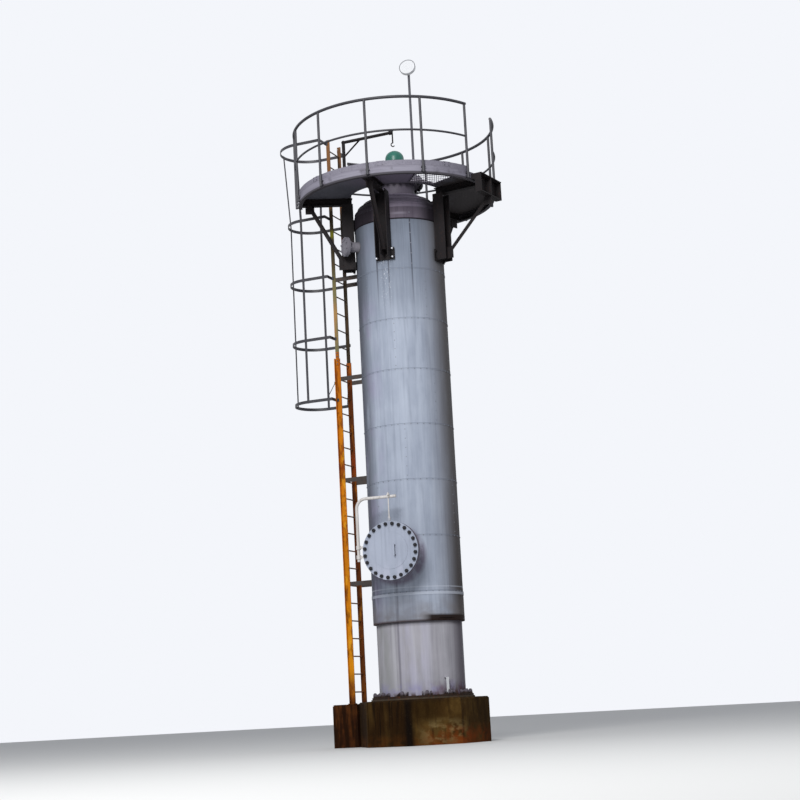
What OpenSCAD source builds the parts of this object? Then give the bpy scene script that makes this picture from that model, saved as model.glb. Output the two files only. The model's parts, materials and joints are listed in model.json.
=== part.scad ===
// Distillation column on a concrete pedestal: skirt, insulated shell, side and
// top manholes with davits, ring platform with guardrail, caged ladder, lamp.
// Millimetres. Origin: centre of the pedestal's underside. +Z up, front is -Y.

/* [Vessel] */
// Outside diameter of the sheet jacket
jacket_d = 1467; // [1200:1:1800]
// Thickness of insulation with its sheet
insul_t = 68; // [40:1:100]
// Shell plate thickness
shell_t = 16; // [10:1:30]
// Height of the lower tangent line of the shell above ground
shell_z0 = 2000; // [1800:10:2400]
// Length of the cylindrical shell between its tangent lines
shell_len = 6630; // [5000:10:9000]
// Height of the jacket's lower edge above ground
jacket_z0 = 1900; // [1700:10:2300]

/* [Foot] */
// Height of the concrete pedestal
ped_h = 700; // [400:10:1200]
// Concrete left round the skirt, to the pedestal's flat sides
ped_rim = 292; // [200:2:500]
// Thickness of the grout bed
grout_t = 25; // [10:1:60]
// Skirt plate thickness
skirt_t = 20; // [10:1:30]
// Base ring plate thickness
base_t = 32; // [20:1:60]
// Number of anchor bolts
anchor_n = 12; // [8:4:16]

/* [Manhole] */
// Height of the side manhole's axis above ground
mh_z = 2980; // [2700:10:3600]
// Bearing of the side manhole, degrees from the front
mh_az = -19; // [-60:1:60]
// Manhole flange and cover diameter
mh_flange_d = 914; // [760:2:1000]
// Manhole flange and cover thickness
mh_flange_t = 48; // [30:1:70]
// Number of bolts in a manhole cover
mh_bolts = 24; // [12:4:32]
// Distance from the jacket to the side manhole's flange face
mh_out = 406; // [320:1:520]

/* [Platform] */
// Height of the walking surface above the upper tangent line
deck_rise = 390; // [380:5:600]
// Width of the walkway between the opening and the edge
walk_w = 860; // [650:5:1200]
// Gap between the jacket and the opening round the top head
hole_gap = 56; // [50:1:120]
// Depth of the edge channel below the walking surface
edge_h = 130; // [80:5:200]
// Height of the toe plate above the walking surface
toe_h = 90; // [60:5:160]
// Height of the guardrail above the walking surface
rail_h = 1160; // [900:10:1300]
// Guardrail tube diameter
rail_d = 48; // [30:1:60]
// Bearing of the ladder, degrees from the front
ladder_az = -113; // [-125:1:-105]
// Bearing of the middle of the ladder opening
gap_az = -120; // [-125:1:-110]
// Half angle of the ladder opening in the platform
ladder_gap = 30; // [22:1:36]
// Bearing of the bridge landing, degrees from the front
bridge_az = 60; // [40:1:80]
// Half angle of the bridge landing
bridge_gap = 15; // [12:1:20]

/* [Ladder] */
// Distance from the jacket to the ladder's rungs
ladder_out = 397; // [320:1:480]
// Clear width between the ladder's stringers
ladder_w = 420; // [300:5:600]
// Rung spacing
rung_step = 285; // [250:5:320]
// Height where the light upper section starts
ladder_split = 6350; // [4000:10:8000]
// Inside width of the safety cage
cage_w = 780; // [650:5:900]
// Straight length of the cage's sides
cage_leg = 490; // [300:5:600]
// How far the cage flares out towards its top hoop
cage_flare = 85; // [0:5:120]
// Height of the cage's lowest hoop
cage_z0 = 5650; // [3000:10:7000]

/* [Lamp] */
// Bearing of the lamp post, degrees from the front
lamp_az = 168; // [120:1:200]
// Height of the lamp's centre above the walking surface
lamp_h = 2900; // [2000:10:4000]
// Diameter of the lamp head
lamp_d = 290; // [200:5:400]

/* [Hidden] */
$fn = 64;
e = 0.3;
rj = jacket_d / 2;
rs = rj - insul_t;
shell_z1 = shell_z0 + shell_len;
deck_z = shell_z1 + deck_rise;
mh_pcd = mh_flange_d - 78;
mh_neck_d = mh_flange_d - 304;
mh_reach = rj + mh_out;
ladder_r = rj + ladder_out;
head_h = rs / 2;
dome_h = head_h + 53;
skirt_z0 = ped_h + grout_t + base_t;
skirt_z1 = shell_z0 + 60;
rsk = rs + skirt_t;
ped_d = 2 * (rsk + ped_rim) / cos(22.5);
deck_ri = rj + hole_gap;
deck_r = deck_ri + walk_w;
plate_t = 10;
rail_r = deck_r + rail_d / 2 + 8;
lad_a0 = gap_az - ladder_gap;
lad_a1 = gap_az + ladder_gap;
br_a0 = bridge_az - bridge_gap;
br_a1 = bridge_az + bridge_gap;
near_span = br_a0 - lad_a1;
far_span = 360 + lad_a0 - br_a1;
near_frac = [0, 0.1, 0.325, 0.555, 0.785, 1];
far_frac = [0, 0.22, 0.44, 0.64, 0.83, 1];
neck_r = mh_neck_d / 2;
top_face = deck_z + 220;
first_seam = jacket_z0 + 450;
seam_zs = [for (f = [0, 0.14, 0.282, 0.424, 0.567, 0.7, 0.833]) first_seam + f * (shell_z1 - first_seam)];
feed_z = shell_z0 + 3450;
return_z = shell_z0 + 1100;
vapour_z = shell_z1 - 570;
blind_z = shell_z1 - 530;
out_z = ped_h + 450;
brk_az = [lad_a1 + 5, -18, bridge_az, 138, 360 + lad_a0 - 5];
clip_zs = [deck_z - edge_h - 1050, deck_z - edge_h - 330];
lclip_zs = [for (i = [0 : 3]) shell_z0 + 600 + i * (shell_len - 1530) / 3];
seat_h = 300;
grate_a0 = 14;
grate_a1 = 44;
leg_d = 190;
plinth_h = ped_h - 20;
ladder_z0 = plinth_h + 12;
ladder_z1 = deck_z + rail_h;
cage_zs = concat([for (i = [0 : 3]) cage_z0 + i * (deck_z - edge_h - 110 - cage_z0) / 3], [deck_z + rail_h - 70]);
cage_r = cage_w / 2;
lamp_r = rail_r - rail_d / 2 - 36;

// places a child that points along +Z so that it points outward at a bearing
module out_at(a, r, z) { rotate([0, 0, a]) translate([0, -r, z]) rotate([90, 0, 0]) children(); }
module tube(ro, ri, h) { difference() { cylinder(r = ro, h = h); translate([0, 0, -1]) cylinder(r = ri, h = h + 2); } }
module ring_of(n, r, a0 = 0) { for (i = [0 : n - 1]) rotate([0, 0, a0 + i * 360 / n]) translate([r, 0, 0]) children(); }
// arc of a swept profile from bearing a0 over span degrees
module sweep(a0, span) { rotate([0, 0, a0 - 90]) rotate_extrude(angle = span) children(); }
module flange(od, bore, t, pcd, n, hole) {
  difference() {
    cylinder(d = od, h = t);
    translate([0, 0, -1]) cylinder(d = bore, h = t + 2);
    ring_of(n, pcd / 2, 180 / n) translate([0, 0, -1]) cylinder(d = hole, h = t + 2, $fn = 32);
  }
}
// points on a quarter of an ellipse, n steps, raised by z
function ell(a, b, n, z) = [for (i = [0 : n]) [a * cos(90 * i / n), z + b * sin(90 * i / n)]];
function rev(v) = [for (i = [len(v) - 1 : -1 : 0]) v[i]];
// half-ellipse shell of revolution, sgn = 1 opens downward, -1 opens upward
module head(a, b, ai, bi, z, sgn) {
  rotate_extrude() polygon(concat([for (p = ell(a, b, 14, 0)) [max(p[0], 0), z + sgn * p[1]]],
    rev([for (p = ell(ai, bi, 14, 0)) [max(p[0], 0), z + sgn * p[1]]])));
}

module pedestal() {
  color([0.45, 0.42, 0.33]) rotate([0, 0, -12 - 90]) {
    cylinder(d = ped_d, h = ped_h - 25, $fn = 8);
    translate([0, 0, ped_h - 25]) cylinder(d1 = ped_d, d2 = ped_d - 50, h = 25, $fn = 8);
  }
}
module grout() {
  color([0.55, 0.54, 0.5]) translate([0, 0, ped_h]) tube(rsk + 140, rs - 110, grout_t);
}
module base_ring() {
  color([0.4, 0.38, 0.36]) {
    difference() {
      translate([0, 0, ped_h + grout_t]) tube(rsk + 122, rs - 70, base_t);
      translate([0, 0, ped_h + grout_t - 1]) ring_of(anchor_n, rsk + 75, 5) cylinder(r = 20.4, h = base_t + 2, $fn = 32);
    }
    for (i = [0 : anchor_n - 1]) for (s = [-1, 1]) rotate([0, 0, 5 + i * 360 / anchor_n + s * 5.5])
      translate([rsk + 1, 8, skirt_z0]) rotate([90, 0, 0]) linear_extrude(16) polygon([[0, 0], [105, 0], [105, 18], [18, 62], [0, 62]]);
  }
}
module anchor_bolts() {
  color([0.3, 0.27, 0.25]) ring_of(anchor_n, rsk + 75, 5) {
    translate([0, 0, ped_h + grout_t]) cylinder(r = 20, h = base_t + 74, $fn = 32);
    translate([0, 0, skirt_z0]) cylinder(r = 36, h = 5, $fn = 32);
    translate([0, 0, skirt_z0 + 5]) cylinder(r = 32, h = 34, $fn = 6);
    translate([0, 0, skirt_z0 + 39]) cylinder(r = 30, h = 20, $fn = 6);
  }
}
module skirt() {
  color([0.7, 0.71, 0.7]) difference() {
    translate([0, 0, skirt_z0]) tube(rsk, rs, skirt_z1 - skirt_z0);
    // way out for the bottoms pipe
    out_at(180, rs - 60, out_z) cylinder(r = 105, h = 200);
    // access opening, arched, on the hidden side
    rotate([0, 0, 125]) translate([0, -rs + 60, 0]) rotate([90, 0, 0]) linear_extrude(200) {
      translate([0, ped_h + 630]) circle(r = 225);
      translate([-225, ped_h + 260]) square([450, 370]);
    }
    // four vents below the head, on the hidden side
    for (a = [100, 140, 220, 260]) out_at(a, rs - 60, skirt_z1 - 205) cylinder(r = 32, h = 200, $fn = 32);
  }
}
module bottom_head() {
  color([0.5, 0.42, 0.36]) difference() {
    head(rs - e, head_h, rs - shell_t, head_h - shell_t, shell_z0, -1);
    translate([0, 0, shell_z0 - head_h - 50]) cylinder(r = 84.4, h = 100);
  }
}
module bottoms_nozzle() {
  zc = out_z; er = 229;
  color([0.45, 0.4, 0.37]) {
    translate([0, 0, zc + er]) tube(84, 76, shell_z0 - head_h + 20 - zc - er);
    translate([0, er, zc + er]) rotate([-90, 0, -90]) rotate_extrude(angle = 90) translate([er, 0]) difference() { circle(r = 84); circle(r = 76); }
    out_at(180, er, zc) tube(84, 76, rsk + 190 - er);
    out_at(180, rsk + 190, zc) flange(285, 152, 25, 240, 8, 23);
  }
}
module shell() {
  color([0.5, 0.42, 0.36]) difference() {
    translate([0, 0, shell_z0]) tube(rs, rs - shell_t, shell_len);
    nozzle_holes(0.3);
  }
}
// every hole that the shell and the jacket carry, c = clearance round the pipe
module nozzle_holes(c) {
  out_at(mh_az, rs - 200, mh_z) cylinder(r = neck_r + c, h = 500);
  out_at(-68, rs - 200, blind_z) cylinder(r = 84 + c, h = 500);
  out_at(160, rs - 200, feed_z) cylinder(r = 57 + c, h = 500);
  out_at(176, rs - 200, vapour_z) cylinder(r = 162 + c, h = 500);
  out_at(172, rs - 200, return_z) cylinder(r = 136 + c, h = 500);
  for (a = brk_az) out_at(a, rs - 200, 0) for (z = clip_zs) translate([-45 - c, z - 60 - c, 200 - e]) cube([90 + 2 * c, 120 + 2 * c, 300]);
  for (z = lclip_zs) rotate([0, 0, ladder_az]) for (s = [-1, 1]) translate([s * (ladder_w / 2 + 6) - 6 - c, -1500, z - 35 - c]) cube([12 + 2 * c, 1500, 70 + 2 * c]);
}
// a stretch of sheet jacket with swaged laps at its seams
module jacket(z0, z1, seams) {
  difference() {
    union() {
      translate([0, 0, z0]) cylinder(r = rj - 3, h = z1 - z0);
      for (i = [0 : len(seams) - 2]) translate([0, 0, seams[i]]) cylinder(r = rj - 1.5, h = 60);
      for (s = seams) translate([0, 0, s]) cylinder(r = rj, h = 14);
    }
    translate([0, 0, z0 - 1]) cylinder(r = rs + e, h = z1 - z0 + 2);
    nozzle_holes(0.5);
  }
}
module jacket_foot() {
  color([0.6, 0.63, 0.68]) difference() {
    union() {
      translate([0, 0, jacket_z0]) cylinder(r = rj, h = seam_zs[0] - jacket_z0);
      translate([0, 0, seam_zs[0] - 45]) cylinder(r = rj + 6, h = 45);
    }
    translate([0, 0, jacket_z0 - 1]) cylinder(r = rsk + e, h = skirt_z1 - jacket_z0 + 1 + e);
    translate([0, 0, skirt_z1]) cylinder(r = rs + e, h = 1000);
    // corroded notch in the lower edge
    rotate([0, 0, 38]) translate([-170, -rj - 30, jacket_z0 - 1]) cube([340, 50, 46]);
    nozzle_holes(0.5);
  }
}
module jacket_lower() { color([0.62, 0.65, 0.7]) jacket(seam_zs[0], seam_zs[2], [seam_zs[0], seam_zs[1]]); }
module jacket_middle() { color([0.6, 0.63, 0.69]) jacket(seam_zs[2], seam_zs[4], [seam_zs[2], seam_zs[3]]); }
module jacket_upper() { color([0.61, 0.64, 0.69]) jacket(seam_zs[4], shell_z1, [seam_zs[4], seam_zs[5], seam_zs[6], shell_z1 - 14]); }
module top_head() {
  color([0.5, 0.42, 0.36]) difference() {
    head(rs, head_h, rs - shell_t, head_h - shell_t, shell_z1, 1);
    translate([0, 0, shell_z1]) cylinder(r = neck_r + e, h = 1000);
  }
}
module dome_cover() {
  color([0.45, 0.43, 0.48]) difference() {
    union() {
      head(rj - 4, dome_h, rs + e, head_h + e, shell_z1, 1);
      for (t = [0.2, 0.42, 0.62, 0.8]) translate([0, 0, shell_z1 + dome_h * t])
        tube((rj - 4) * sqrt(1 - t * t) + 5, (rj - 4) * sqrt(1 - t * t) - 40, 10);
    }
    translate([0, 0, shell_z1 - 1]) cylinder(r = neck_r + 2 * e, h = 1000);
  }
}
module top_neck() {
  color([0.5, 0.47, 0.5]) {
    translate([0, 0, shell_z1 + head_h - 100]) tube(neck_r, neck_r - 14, top_face - mh_flange_t - shell_z1 - head_h + 100);
    translate([0, 0, top_face - mh_flange_t]) flange(mh_flange_d, mh_neck_d - 28, mh_flange_t, mh_pcd, mh_bolts, 34);
  }
}
module top_cover() {
  color([0.55, 0.56, 0.58]) difference() {
    union() {
      translate([0, 0, top_face]) cylinder(d = mh_flange_d, h = mh_flange_t);
      translate([0, 0, top_face + mh_flange_t]) cylinder(r = 57, h = 70);
      translate([0, 0, top_face + mh_flange_t + 70]) cylinder(r = 115, h = 22);
      for (s = [-1, 1]) translate([s * 300 - 8, -40, top_face + mh_flange_t]) difference() { cube([16, 80, 90]); translate([-1, 40, 55]) rotate([0, 90, 0]) cylinder(r = 20, h = 20, $fn = 32); }
    }
    translate([0, 0, top_face - 1]) cylinder(r = 50, h = 200);
    translate([0, 0, top_face - 1]) ring_of(mh_bolts, mh_pcd / 2, 180 / mh_bolts) cylinder(d = 34, h = mh_flange_t + 2, $fn = 32);
  }
}
module studs() {
  ring_of(mh_bolts, mh_pcd / 2, 180 / mh_bolts) {
    translate([0, 0, -mh_flange_t - 42]) cylinder(d = 33, h = 2 * mh_flange_t + 84, $fn = 24);
    translate([0, 0, mh_flange_t]) cylinder(d = 60, h = 30, $fn = 6);
    translate([0, 0, -mh_flange_t - 30]) cylinder(d = 60, h = 30, $fn = 6);
  }
}
module top_studs() { color([0.2, 0.19, 0.2]) translate([0, 0, top_face]) studs(); }
module vent_valve() {
  z = top_face + mh_flange_t + 92;
  color([0.05, 0.42, 0.38]) translate([0, 0, z]) {
    difference() {
      union() {
        cylinder(r = 115, h = 22);
        cylinder(r = 62, h = 120);
        translate([0, 0, 100]) cylinder(r1 = 62, r2 = 120, h = 90);
        translate([0, 0, 190]) cylinder(r = 120, h = 60);
      }
      translate([0, 0, -1]) cylinder(r = 50, h = 200);
    }
    // rain hood, a dome with a rolled skirt
    translate([0, 0, 250]) rotate_extrude() polygon(concat([[0, 0], [158, 0]], [for (p = ell(158, 140, 12, 60)) [max(p[0], 0), p[1]]]));
    // side port with its stub
    translate([-60, 0, 195]) rotate([0, -90, 0]) cylinder(r = 42, h = 150, $fn = 48);
  }
}
// davit of the top manhole: foot, sleeve, post, rising arm with strut, collar and hook
module top_davit() {
  pr = deck_ri + 71; ah = 960; L = pr + 10; up = 12.5; hk = L - 26; hz = ah + hk * tan(up) - 190;
  color([0.2, 0.2, 0.23]) rotate([0, 0, -80]) translate([0, -pr, deck_z]) {
    cylinder(r = 75, h = 14);
    cylinder(r = 38, h = 420);
    cylinder(r = 28, h = ah);
    translate([0, 0, ah]) sphere(r = 34);
    translate([0, 0, ah]) rotate([up - 90, 0, 0]) cylinder(r = 26, h = L);
    translate([0, 0, ah]) rotate([up - 90, 0, 0]) translate([0, 0, L - 62]) cylinder(r = 36, h = 56);
    translate([0, 0, ah - 260]) rotate([-42, 0, 0]) cylinder(r = 14, h = 420, $fn = 32);
    translate([0, hk, hz]) cylinder(r = 12, h = 236, $fn = 32);
    translate([0, hk, hz + 214]) cylinder(r = 22, h = 18, $fn = 6);
    translate([0, hk, hz - 30]) rotate([90, 0, 90]) rotate([0, 0, 90]) rotate_extrude(angle = 240) translate([30, 0]) circle(r = 9);
  }
}
module side_neck() {
  color([0.5, 0.5, 0.53]) difference() {
    union() {
      out_at(mh_az, rs - 120, mh_z) cylinder(r = neck_r, h = mh_reach - mh_flange_t - rs + 120 + 1);
      out_at(mh_az, mh_reach - mh_flange_t, mh_z) cylinder(d = mh_flange_d, h = mh_flange_t);
    }
    out_at(mh_az, rs - 200, mh_z) cylinder(r = neck_r - 14, h = 1000);
    out_at(mh_az, mh_reach - mh_flange_t - 1, mh_z) ring_of(mh_bolts, mh_pcd / 2, 180 / mh_bolts) cylinder(d = 34, h = mh_flange_t + 2, $fn = 32);
    translate([0, 0, mh_z - 500]) cylinder(r = rs - shell_t, h = 1000, $fn = 360);
  }
}
module side_cover() {
  color([0.5, 0.51, 0.55]) out_at(mh_az, mh_reach, mh_z) difference() {
    union() {
      cylinder(d = mh_flange_d, h = mh_flange_t);
      translate([0, 0, mh_flange_t]) cylinder(r = neck_r - 20, h = 4);
      translate([89, -85, mh_flange_t]) rotate([0, 0, 90]) handle();
      translate([-9, mh_flange_d / 2 - 12, 14]) cube([18, 70, 22]);
    }
    translate([0, 0, -1]) ring_of(mh_bolts, mh_pcd / 2, 180 / mh_bolts) cylinder(d = 34, h = mh_flange_t + 2, $fn = 32);
    translate([-20, mh_flange_d / 2 + 34, 25]) rotate([0, 90, 0]) cylinder(r = 7.5, h = 40, $fn = 24);
  }
}
module handle() { cube([18, 18, 60]); translate([152, 0, 0]) cube([18, 18, 60]); translate([0, 0, 44]) cube([170, 18, 16]); }
module side_studs() { color([0.12, 0.12, 0.13]) out_at(mh_az, mh_reach, mh_z) studs(); }
// davit beside the side manhole: sleeve on the flange's rim, post, bend, arm, hanger
module side_davit() {
  t = mh_flange_d / 2 + 95; br = 150; ph = 700;
  color([0.62, 0.6, 0.56]) out_at(mh_az, mh_reach - mh_flange_t / 2, mh_z) {
    for (z = [-90, 60]) translate([-t, z, 0]) rotate([-90, 0, 0]) cylinder(r = 38, h = 60);
    for (z = [-90, 60]) translate([-t + 34, z + 12, -10]) cube([t - 34 - sqrt(pow(mh_flange_d / 2, 2) - pow(z > 0 ? z + 12 : z + 48, 2)) + 1, 36, 20]);
    translate([-t, -130, 0]) rotate([-90, 0, 0]) cylinder(r = 24, h = 130 + ph);
    translate([-t + br, ph, 0]) rotate([0, 0, 90]) rotate_extrude(angle = 90) translate([br, 0]) circle(r = 24);
    translate([-t + br, ph + br, 0]) rotate([0, 90, 0]) cylinder(r = 24, h = t - br + 110);
    translate([0, mh_flange_d / 2 + 59, mh_flange_t / 2 + 25]) rotate([-90, 0, 0]) cylinder(r = 9, h = ph + br - mh_flange_d / 2 - 59 + 60, $fn = 24);
    translate([0, ph + br + 24, mh_flange_t / 2 + 25]) rotate([-90, 0, 0]) cylinder(r = 22, h = 20, $fn = 6);
    translate([-18, ph + br - 24, 10]) cube([36, 8, mh_flange_t / 2 + 40]);
    translate([-18, ph + br + 16, 10]) cube([36, 8, mh_flange_t / 2 + 40]);
    translate([-16, mh_flange_d / 2 + 34 - 25, mh_flange_t / 2 + 1 + 12]) difference() { cube([32, 60, 22]); translate([6, -1, -1]) cube([20, 40, 24]); }
    translate([-16, mh_flange_d / 2 + 34, mh_flange_t / 2 + 25]) rotate([0, 90, 0]) cylinder(r = 7, h = 32, $fn = 24);
  }
}
// stub nozzle: pipe radius, reach of its face from the axis
module nozzle(a, z, pr, pt, reach, od, t, pcd, n, hole) {
  difference() {
    union() {
      out_at(a, rs - 120, z) cylinder(r = pr, h = reach - t - rs + 121);
      out_at(a, reach - t, z) cylinder(d = od, h = t);
      out_at(a, reach - t - 40, z) cylinder(r1 = pr, r2 = pr + 14, h = 40);
    }
    out_at(a, rs - 200, z) cylinder(r = pr - pt, h = 1000);
    out_at(a, reach - t - 1, z) ring_of(n, pcd / 2, 180 / n) cylinder(d = hole, h = t + 2, $fn = 32);
    translate([0, 0, z - 400]) cylinder(r = rs - shell_t, h = 800, $fn = 360);
  }
}
module upper_nozzle() {
  color([0.66, 0.67, 0.7]) {
    nozzle(-68, blind_z, 84, 8, rj + 211, 320, 28, 260, 8, 25);
    out_at(-68, rj + 211, blind_z) difference() {
      cylinder(d = 320, h = 28);
      translate([0, 0, -1]) ring_of(8, 130, 22.5) cylinder(d = 25, h = 30, $fn = 32);
    }
    out_at(-68, rj + 211, blind_z) ring_of(8, 130, 22.5) {
      translate([0, 0, -48]) cylinder(d = 24.6, h = 96, $fn = 24);
      translate([0, 0, 28]) cylinder(d = 38, h = 20, $fn = 6);
      translate([0, 0, -48]) cylinder(d = 38, h = 20, $fn = 6);
    }
  }
}
module feed_nozzle() { color([0.5, 0.45, 0.42]) nozzle(160, feed_z, 57, 6, rj + 226, 220, 24, 180, 8, 19); }
module vapour_nozzle() { color([0.5, 0.45, 0.42]) nozzle(176, vapour_z, 162, 10, rj + 276, 460, 32, 410, 12, 27); }
module return_nozzle() { color([0.5, 0.45, 0.42]) nozzle(172, return_z, 136, 9, rj + 266, 405, 30, 355, 12, 27); }
// platform bracket: channel leg on two shell clips, beam under the deck, knee strut
// sr = where the strut ends, sz = underside that its gusset meets
module bracket_one(sr, sz) {
  zt = deck_z - edge_h; ru = deck_r - 60 - e; r0 = rj + 14; zc = clip_zs[0];
  for (z = clip_zs) {
    translate([-45, -r0 - 1, z - 60]) cube([90, r0 + 1 - sqrt(rs * rs - 45 * 45) + 2, 120]);
    for (s = [-1, 1]) for (k = [-1, 1]) translate([s * 24, -r0 - 12, z + k * 34]) rotate([90, 0, 0]) cylinder(d = 26, h = 14, $fn = 6);
  }
  // leg with its flanges outward, and the wide foot with four bolts
  translate([-110, -r0 - 12, zc - 80]) cube([220, 12, zt - zc + 80]);
  for (s = [-1, 1]) translate([s * 104 - 6, -r0 - leg_d, zc - 80]) cube([12, leg_d - 11, zt - zc + 81]);
  translate([-160, -r0 - 12, zc - 100]) cube([320, 12, 200]);
  for (s = [-1, 1]) for (k = [-1, 1]) translate([s * 136, -r0 - 12, zc + k * 70]) rotate([90, 0, 0]) cylinder(d = 34, h = 22, $fn = 6);
  // beam
  translate([-50, -ru, zt]) cube([100, ru - r0, 10]);
  translate([-50, -ru, zt + edge_h - plate_t - 10]) cube([100, ru - r0, 10]);
  translate([-6, -ru, zt]) cube([12, ru - r0 - 10, edge_h - plate_t]);
  // knee strut, an angle between a gusset on the leg and one above
  s0 = [r0 + leg_d - 2, zc + 40]; s1 = [sr, sz];
  L = norm([s1[0] - s0[0], s1[1] - s0[1]]); th = atan2(s1[1] - s0[1], s1[0] - s0[0]);
  translate([0, -s0[0], s0[1]]) rotate([-th, 0, 0]) translate([5, 15 - L, -30]) cube([8, L, 60]);
  translate([0, -s0[0], s0[1]]) rotate([-th, 0, 0]) translate([5, 15 - L, 22]) cube([60, L, 8]);
  translate([-5, -r0 - leg_d - 80, zc - 60]) cube([11, leg_d + 69, 190]);
  translate([-5, -sr - 60, sz - 130]) cube([11, 150, 130 + (sr < deck_r ? 1 : 0)]);
}
module brackets() {
  zt = deck_z - edge_h;
  color([0.2, 0.19, 0.22]) for (a = brk_az) rotate([0, 0, a])
    if (a == bridge_az) bracket_one(deck_r + 80, deck_z - 42 - seat_h); else bracket_one(deck_r - 170, zt);
}
module deck_frame() {
  zt = deck_z - edge_h; h = edge_h; p = edge_h - plate_t;
  color([0.3, 0.3, 0.32]) {
    sweep(lad_a1, 360 - 2 * ladder_gap) translate([0, zt]) polygon([[deck_r - 60, 0], [deck_r, 0], [deck_r, h], [deck_r - 9, h], [deck_r - 9, p], [deck_r - 60, p], [deck_r - 60, p - 9], [deck_r - 9, p - 9], [deck_r - 9, 9], [deck_r - 60, 9]]);
    // kerb round the opening, on the bracket beams
    sweep(lad_a1, 360 - 2 * ladder_gap) translate([deck_ri, zt + p]) square([10, plate_t + 60]);
    for (a = [lad_a1, lad_a0]) rotate([0, 0, a]) translate([a == lad_a1 ? 0 : -10, -deck_r + 5, zt + 30]) cube([10, deck_r - deck_ri - 6, p - 30]);
  }
}
module deck_plate() {
  color([0.26, 0.27, 0.3]) difference() {
    sweep(lad_a1 + 0.6, 360 - 2 * ladder_gap - 1.2) translate([deck_ri + 10.3, deck_z - plate_t]) square([deck_r - deck_ri - 19.6 - 1, plate_t]);
    sweep(grate_a0, grate_a1 - grate_a0) translate([deck_ri + 90, deck_z - 30]) square([deck_r - deck_ri - 170, 40]);
  }
}
module deck_grating() {
  r0 = deck_ri + 90.3; r1 = deck_r - 80.3; am = (grate_a0 + grate_a1) / 2;
  color([0.34, 0.34, 0.36]) intersection() {
    sweep(grate_a0 + 0.02, grate_a1 - grate_a0 - 0.04) translate([r0, deck_z - 30]) square([r1 - r0, 30]);
    union() {
      // bars run from front to back, with cross rods let into their tops
      rotate([0, 0, am]) translate([0, -(r0 + r1) / 2, 0]) rotate([0, 0, -am]) {
        for (i = [-17 : 17]) translate([i * 36 - 3, -620, deck_z - 30]) cube([6, 1240, 30]);
        for (i = [-6 : 6]) translate([-640, i * 100 - 3, deck_z - 8]) cube([1280, 6, 8]);
      }
      difference() {
        sweep(grate_a0, grate_a1 - grate_a0) translate([r0, deck_z - 30]) square([r1 - r0, 30]);
        sweep(grate_a0 + 0.5, grate_a1 - grate_a0 - 1) translate([r0 + 8, deck_z - 40]) square([r1 - r0 - 16, 60]);
      }
    }
  }
}
module toe_plate() {
  color([0.6, 0.58, 0.6]) {
    sweep(lad_a1, near_span) translate([deck_r - 8, deck_z]) square([8, toe_h]);
    sweep(br_a1, far_span) translate([deck_r - 8, deck_z]) square([8, toe_h]);
  }
}
// one run of guardrail: tube posts outside the edge channel, top rail, mid rail
module guardrail(a0, span, fr) {
  color([0.2, 0.2, 0.23]) {
    for (f = fr) rotate([0, 0, a0 + 0.8 + f * (span - 1.6)]) {
      translate([0, -rail_r, deck_z - edge_h + 10]) cylinder(d = rail_d - 6, h = rail_h + edge_h - 10 - rail_d / 2);
      for (z = [deck_z - edge_h + 20, deck_z - 50]) translate([-30, -rail_r, z]) cube([60, rail_r - deck_r - e, 30]);
    }
    translate([0, 0, deck_z + rail_h - rail_d / 2]) sweep(a0, span) translate([rail_r, 0]) circle(d = rail_d);
    translate([0, 0, deck_z + rail_h * 0.5]) sweep(a0 + 0.8, span - 1.6) translate([rail_r, 0]) circle(d = rail_d - 14);
  }
}
module guardrail_near() { guardrail(lad_a1, near_span, near_frac); }
module guardrail_far() { guardrail(br_a1, far_span, far_frac); }
// landing seat for the link bridge: a beam outside the edge channel with bolt holes
module bridge_seat() {
  w = 700; zs = deck_z - 42 - seat_h; ye = deck_r + 40;
  color([0.25, 0.24, 0.27]) rotate([0, 0, bridge_az]) difference() {
    union() {
      translate([-w / 2, -deck_r - 150, deck_z - 42]) cube([w, 210, 12]);
      translate([-w / 2, -ye, deck_z - edge_h + 8]) cube([w, 100, edge_h - 49]);
      translate([-w / 2, -ye, zs]) cube([w, 12, seat_h]);
      translate([-w / 2, -deck_r - 140, zs]) cube([w, 101, 12]);
      for (x = [-w / 2, -6, w / 2 - 12]) translate([x, -deck_r - 140, zs]) cube([12, 101, seat_h + 1]);
    }
    translate([0, 0, deck_z - edge_h - 1]) cylinder(r = deck_r + e, h = edge_h + 2, $fn = 720);
    for (x = [-270, -90, 90, 270]) translate([x, -deck_r - 95, deck_z - 60]) cylinder(d = 22, h = 40, $fn = 32);
  }
}
// ladder, local frame: x across, -y outward
module lad() { rotate([0, 0, ladder_az]) translate([0, -ladder_r, 0]) children(); }
// concrete block beside the pedestal that carries the ladder's foot
module ladder_plinth() {
  color([0.35, 0.27, 0.2]) rotate([0, 0, ladder_az]) translate([-290, -ladder_r - 330, 0]) {
    cube([580, 430, plinth_h - 20]);
    translate([10, 10, plinth_h - 20]) cube([560, 410, 20]);
  }
}
module ladder_lower() {
  color([0.85, 0.42, 0.05]) lad() {
    for (s = [-1, 1]) {
      translate([s * (ladder_w / 2 + 6) - 6, -45, ladder_z0]) cube([12, 90, ladder_split - ladder_z0]);
      translate([s > 0 ? ladder_w / 2 + 11 : -ladder_w / 2 - 51, -45, ladder_z0]) cube([40, 10, ladder_split - ladder_z0]);
      translate([s * (ladder_w / 2 + 6) - 6 - (s > 0 ? 30 : 60), -55, plinth_h]) cube([102, 110, 13]);
    }
  }
}
module ladder_upper() {
  color([0.5, 0.45, 0.15]) lad() difference() {
    for (s = [-1, 1]) translate([s * (ladder_w / 2 + 6) - 6, -32, ladder_split]) cube([12, 64, ladder_z1 - ladder_split]);
    for (s = [-1, 1]) translate([s * (ladder_w / 2 + 6) - 7, -22, ladder_z1 - 40]) rotate([0, 90, 0]) cylinder(r = 8, h = 14, $fn = 24);
  }
}
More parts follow.
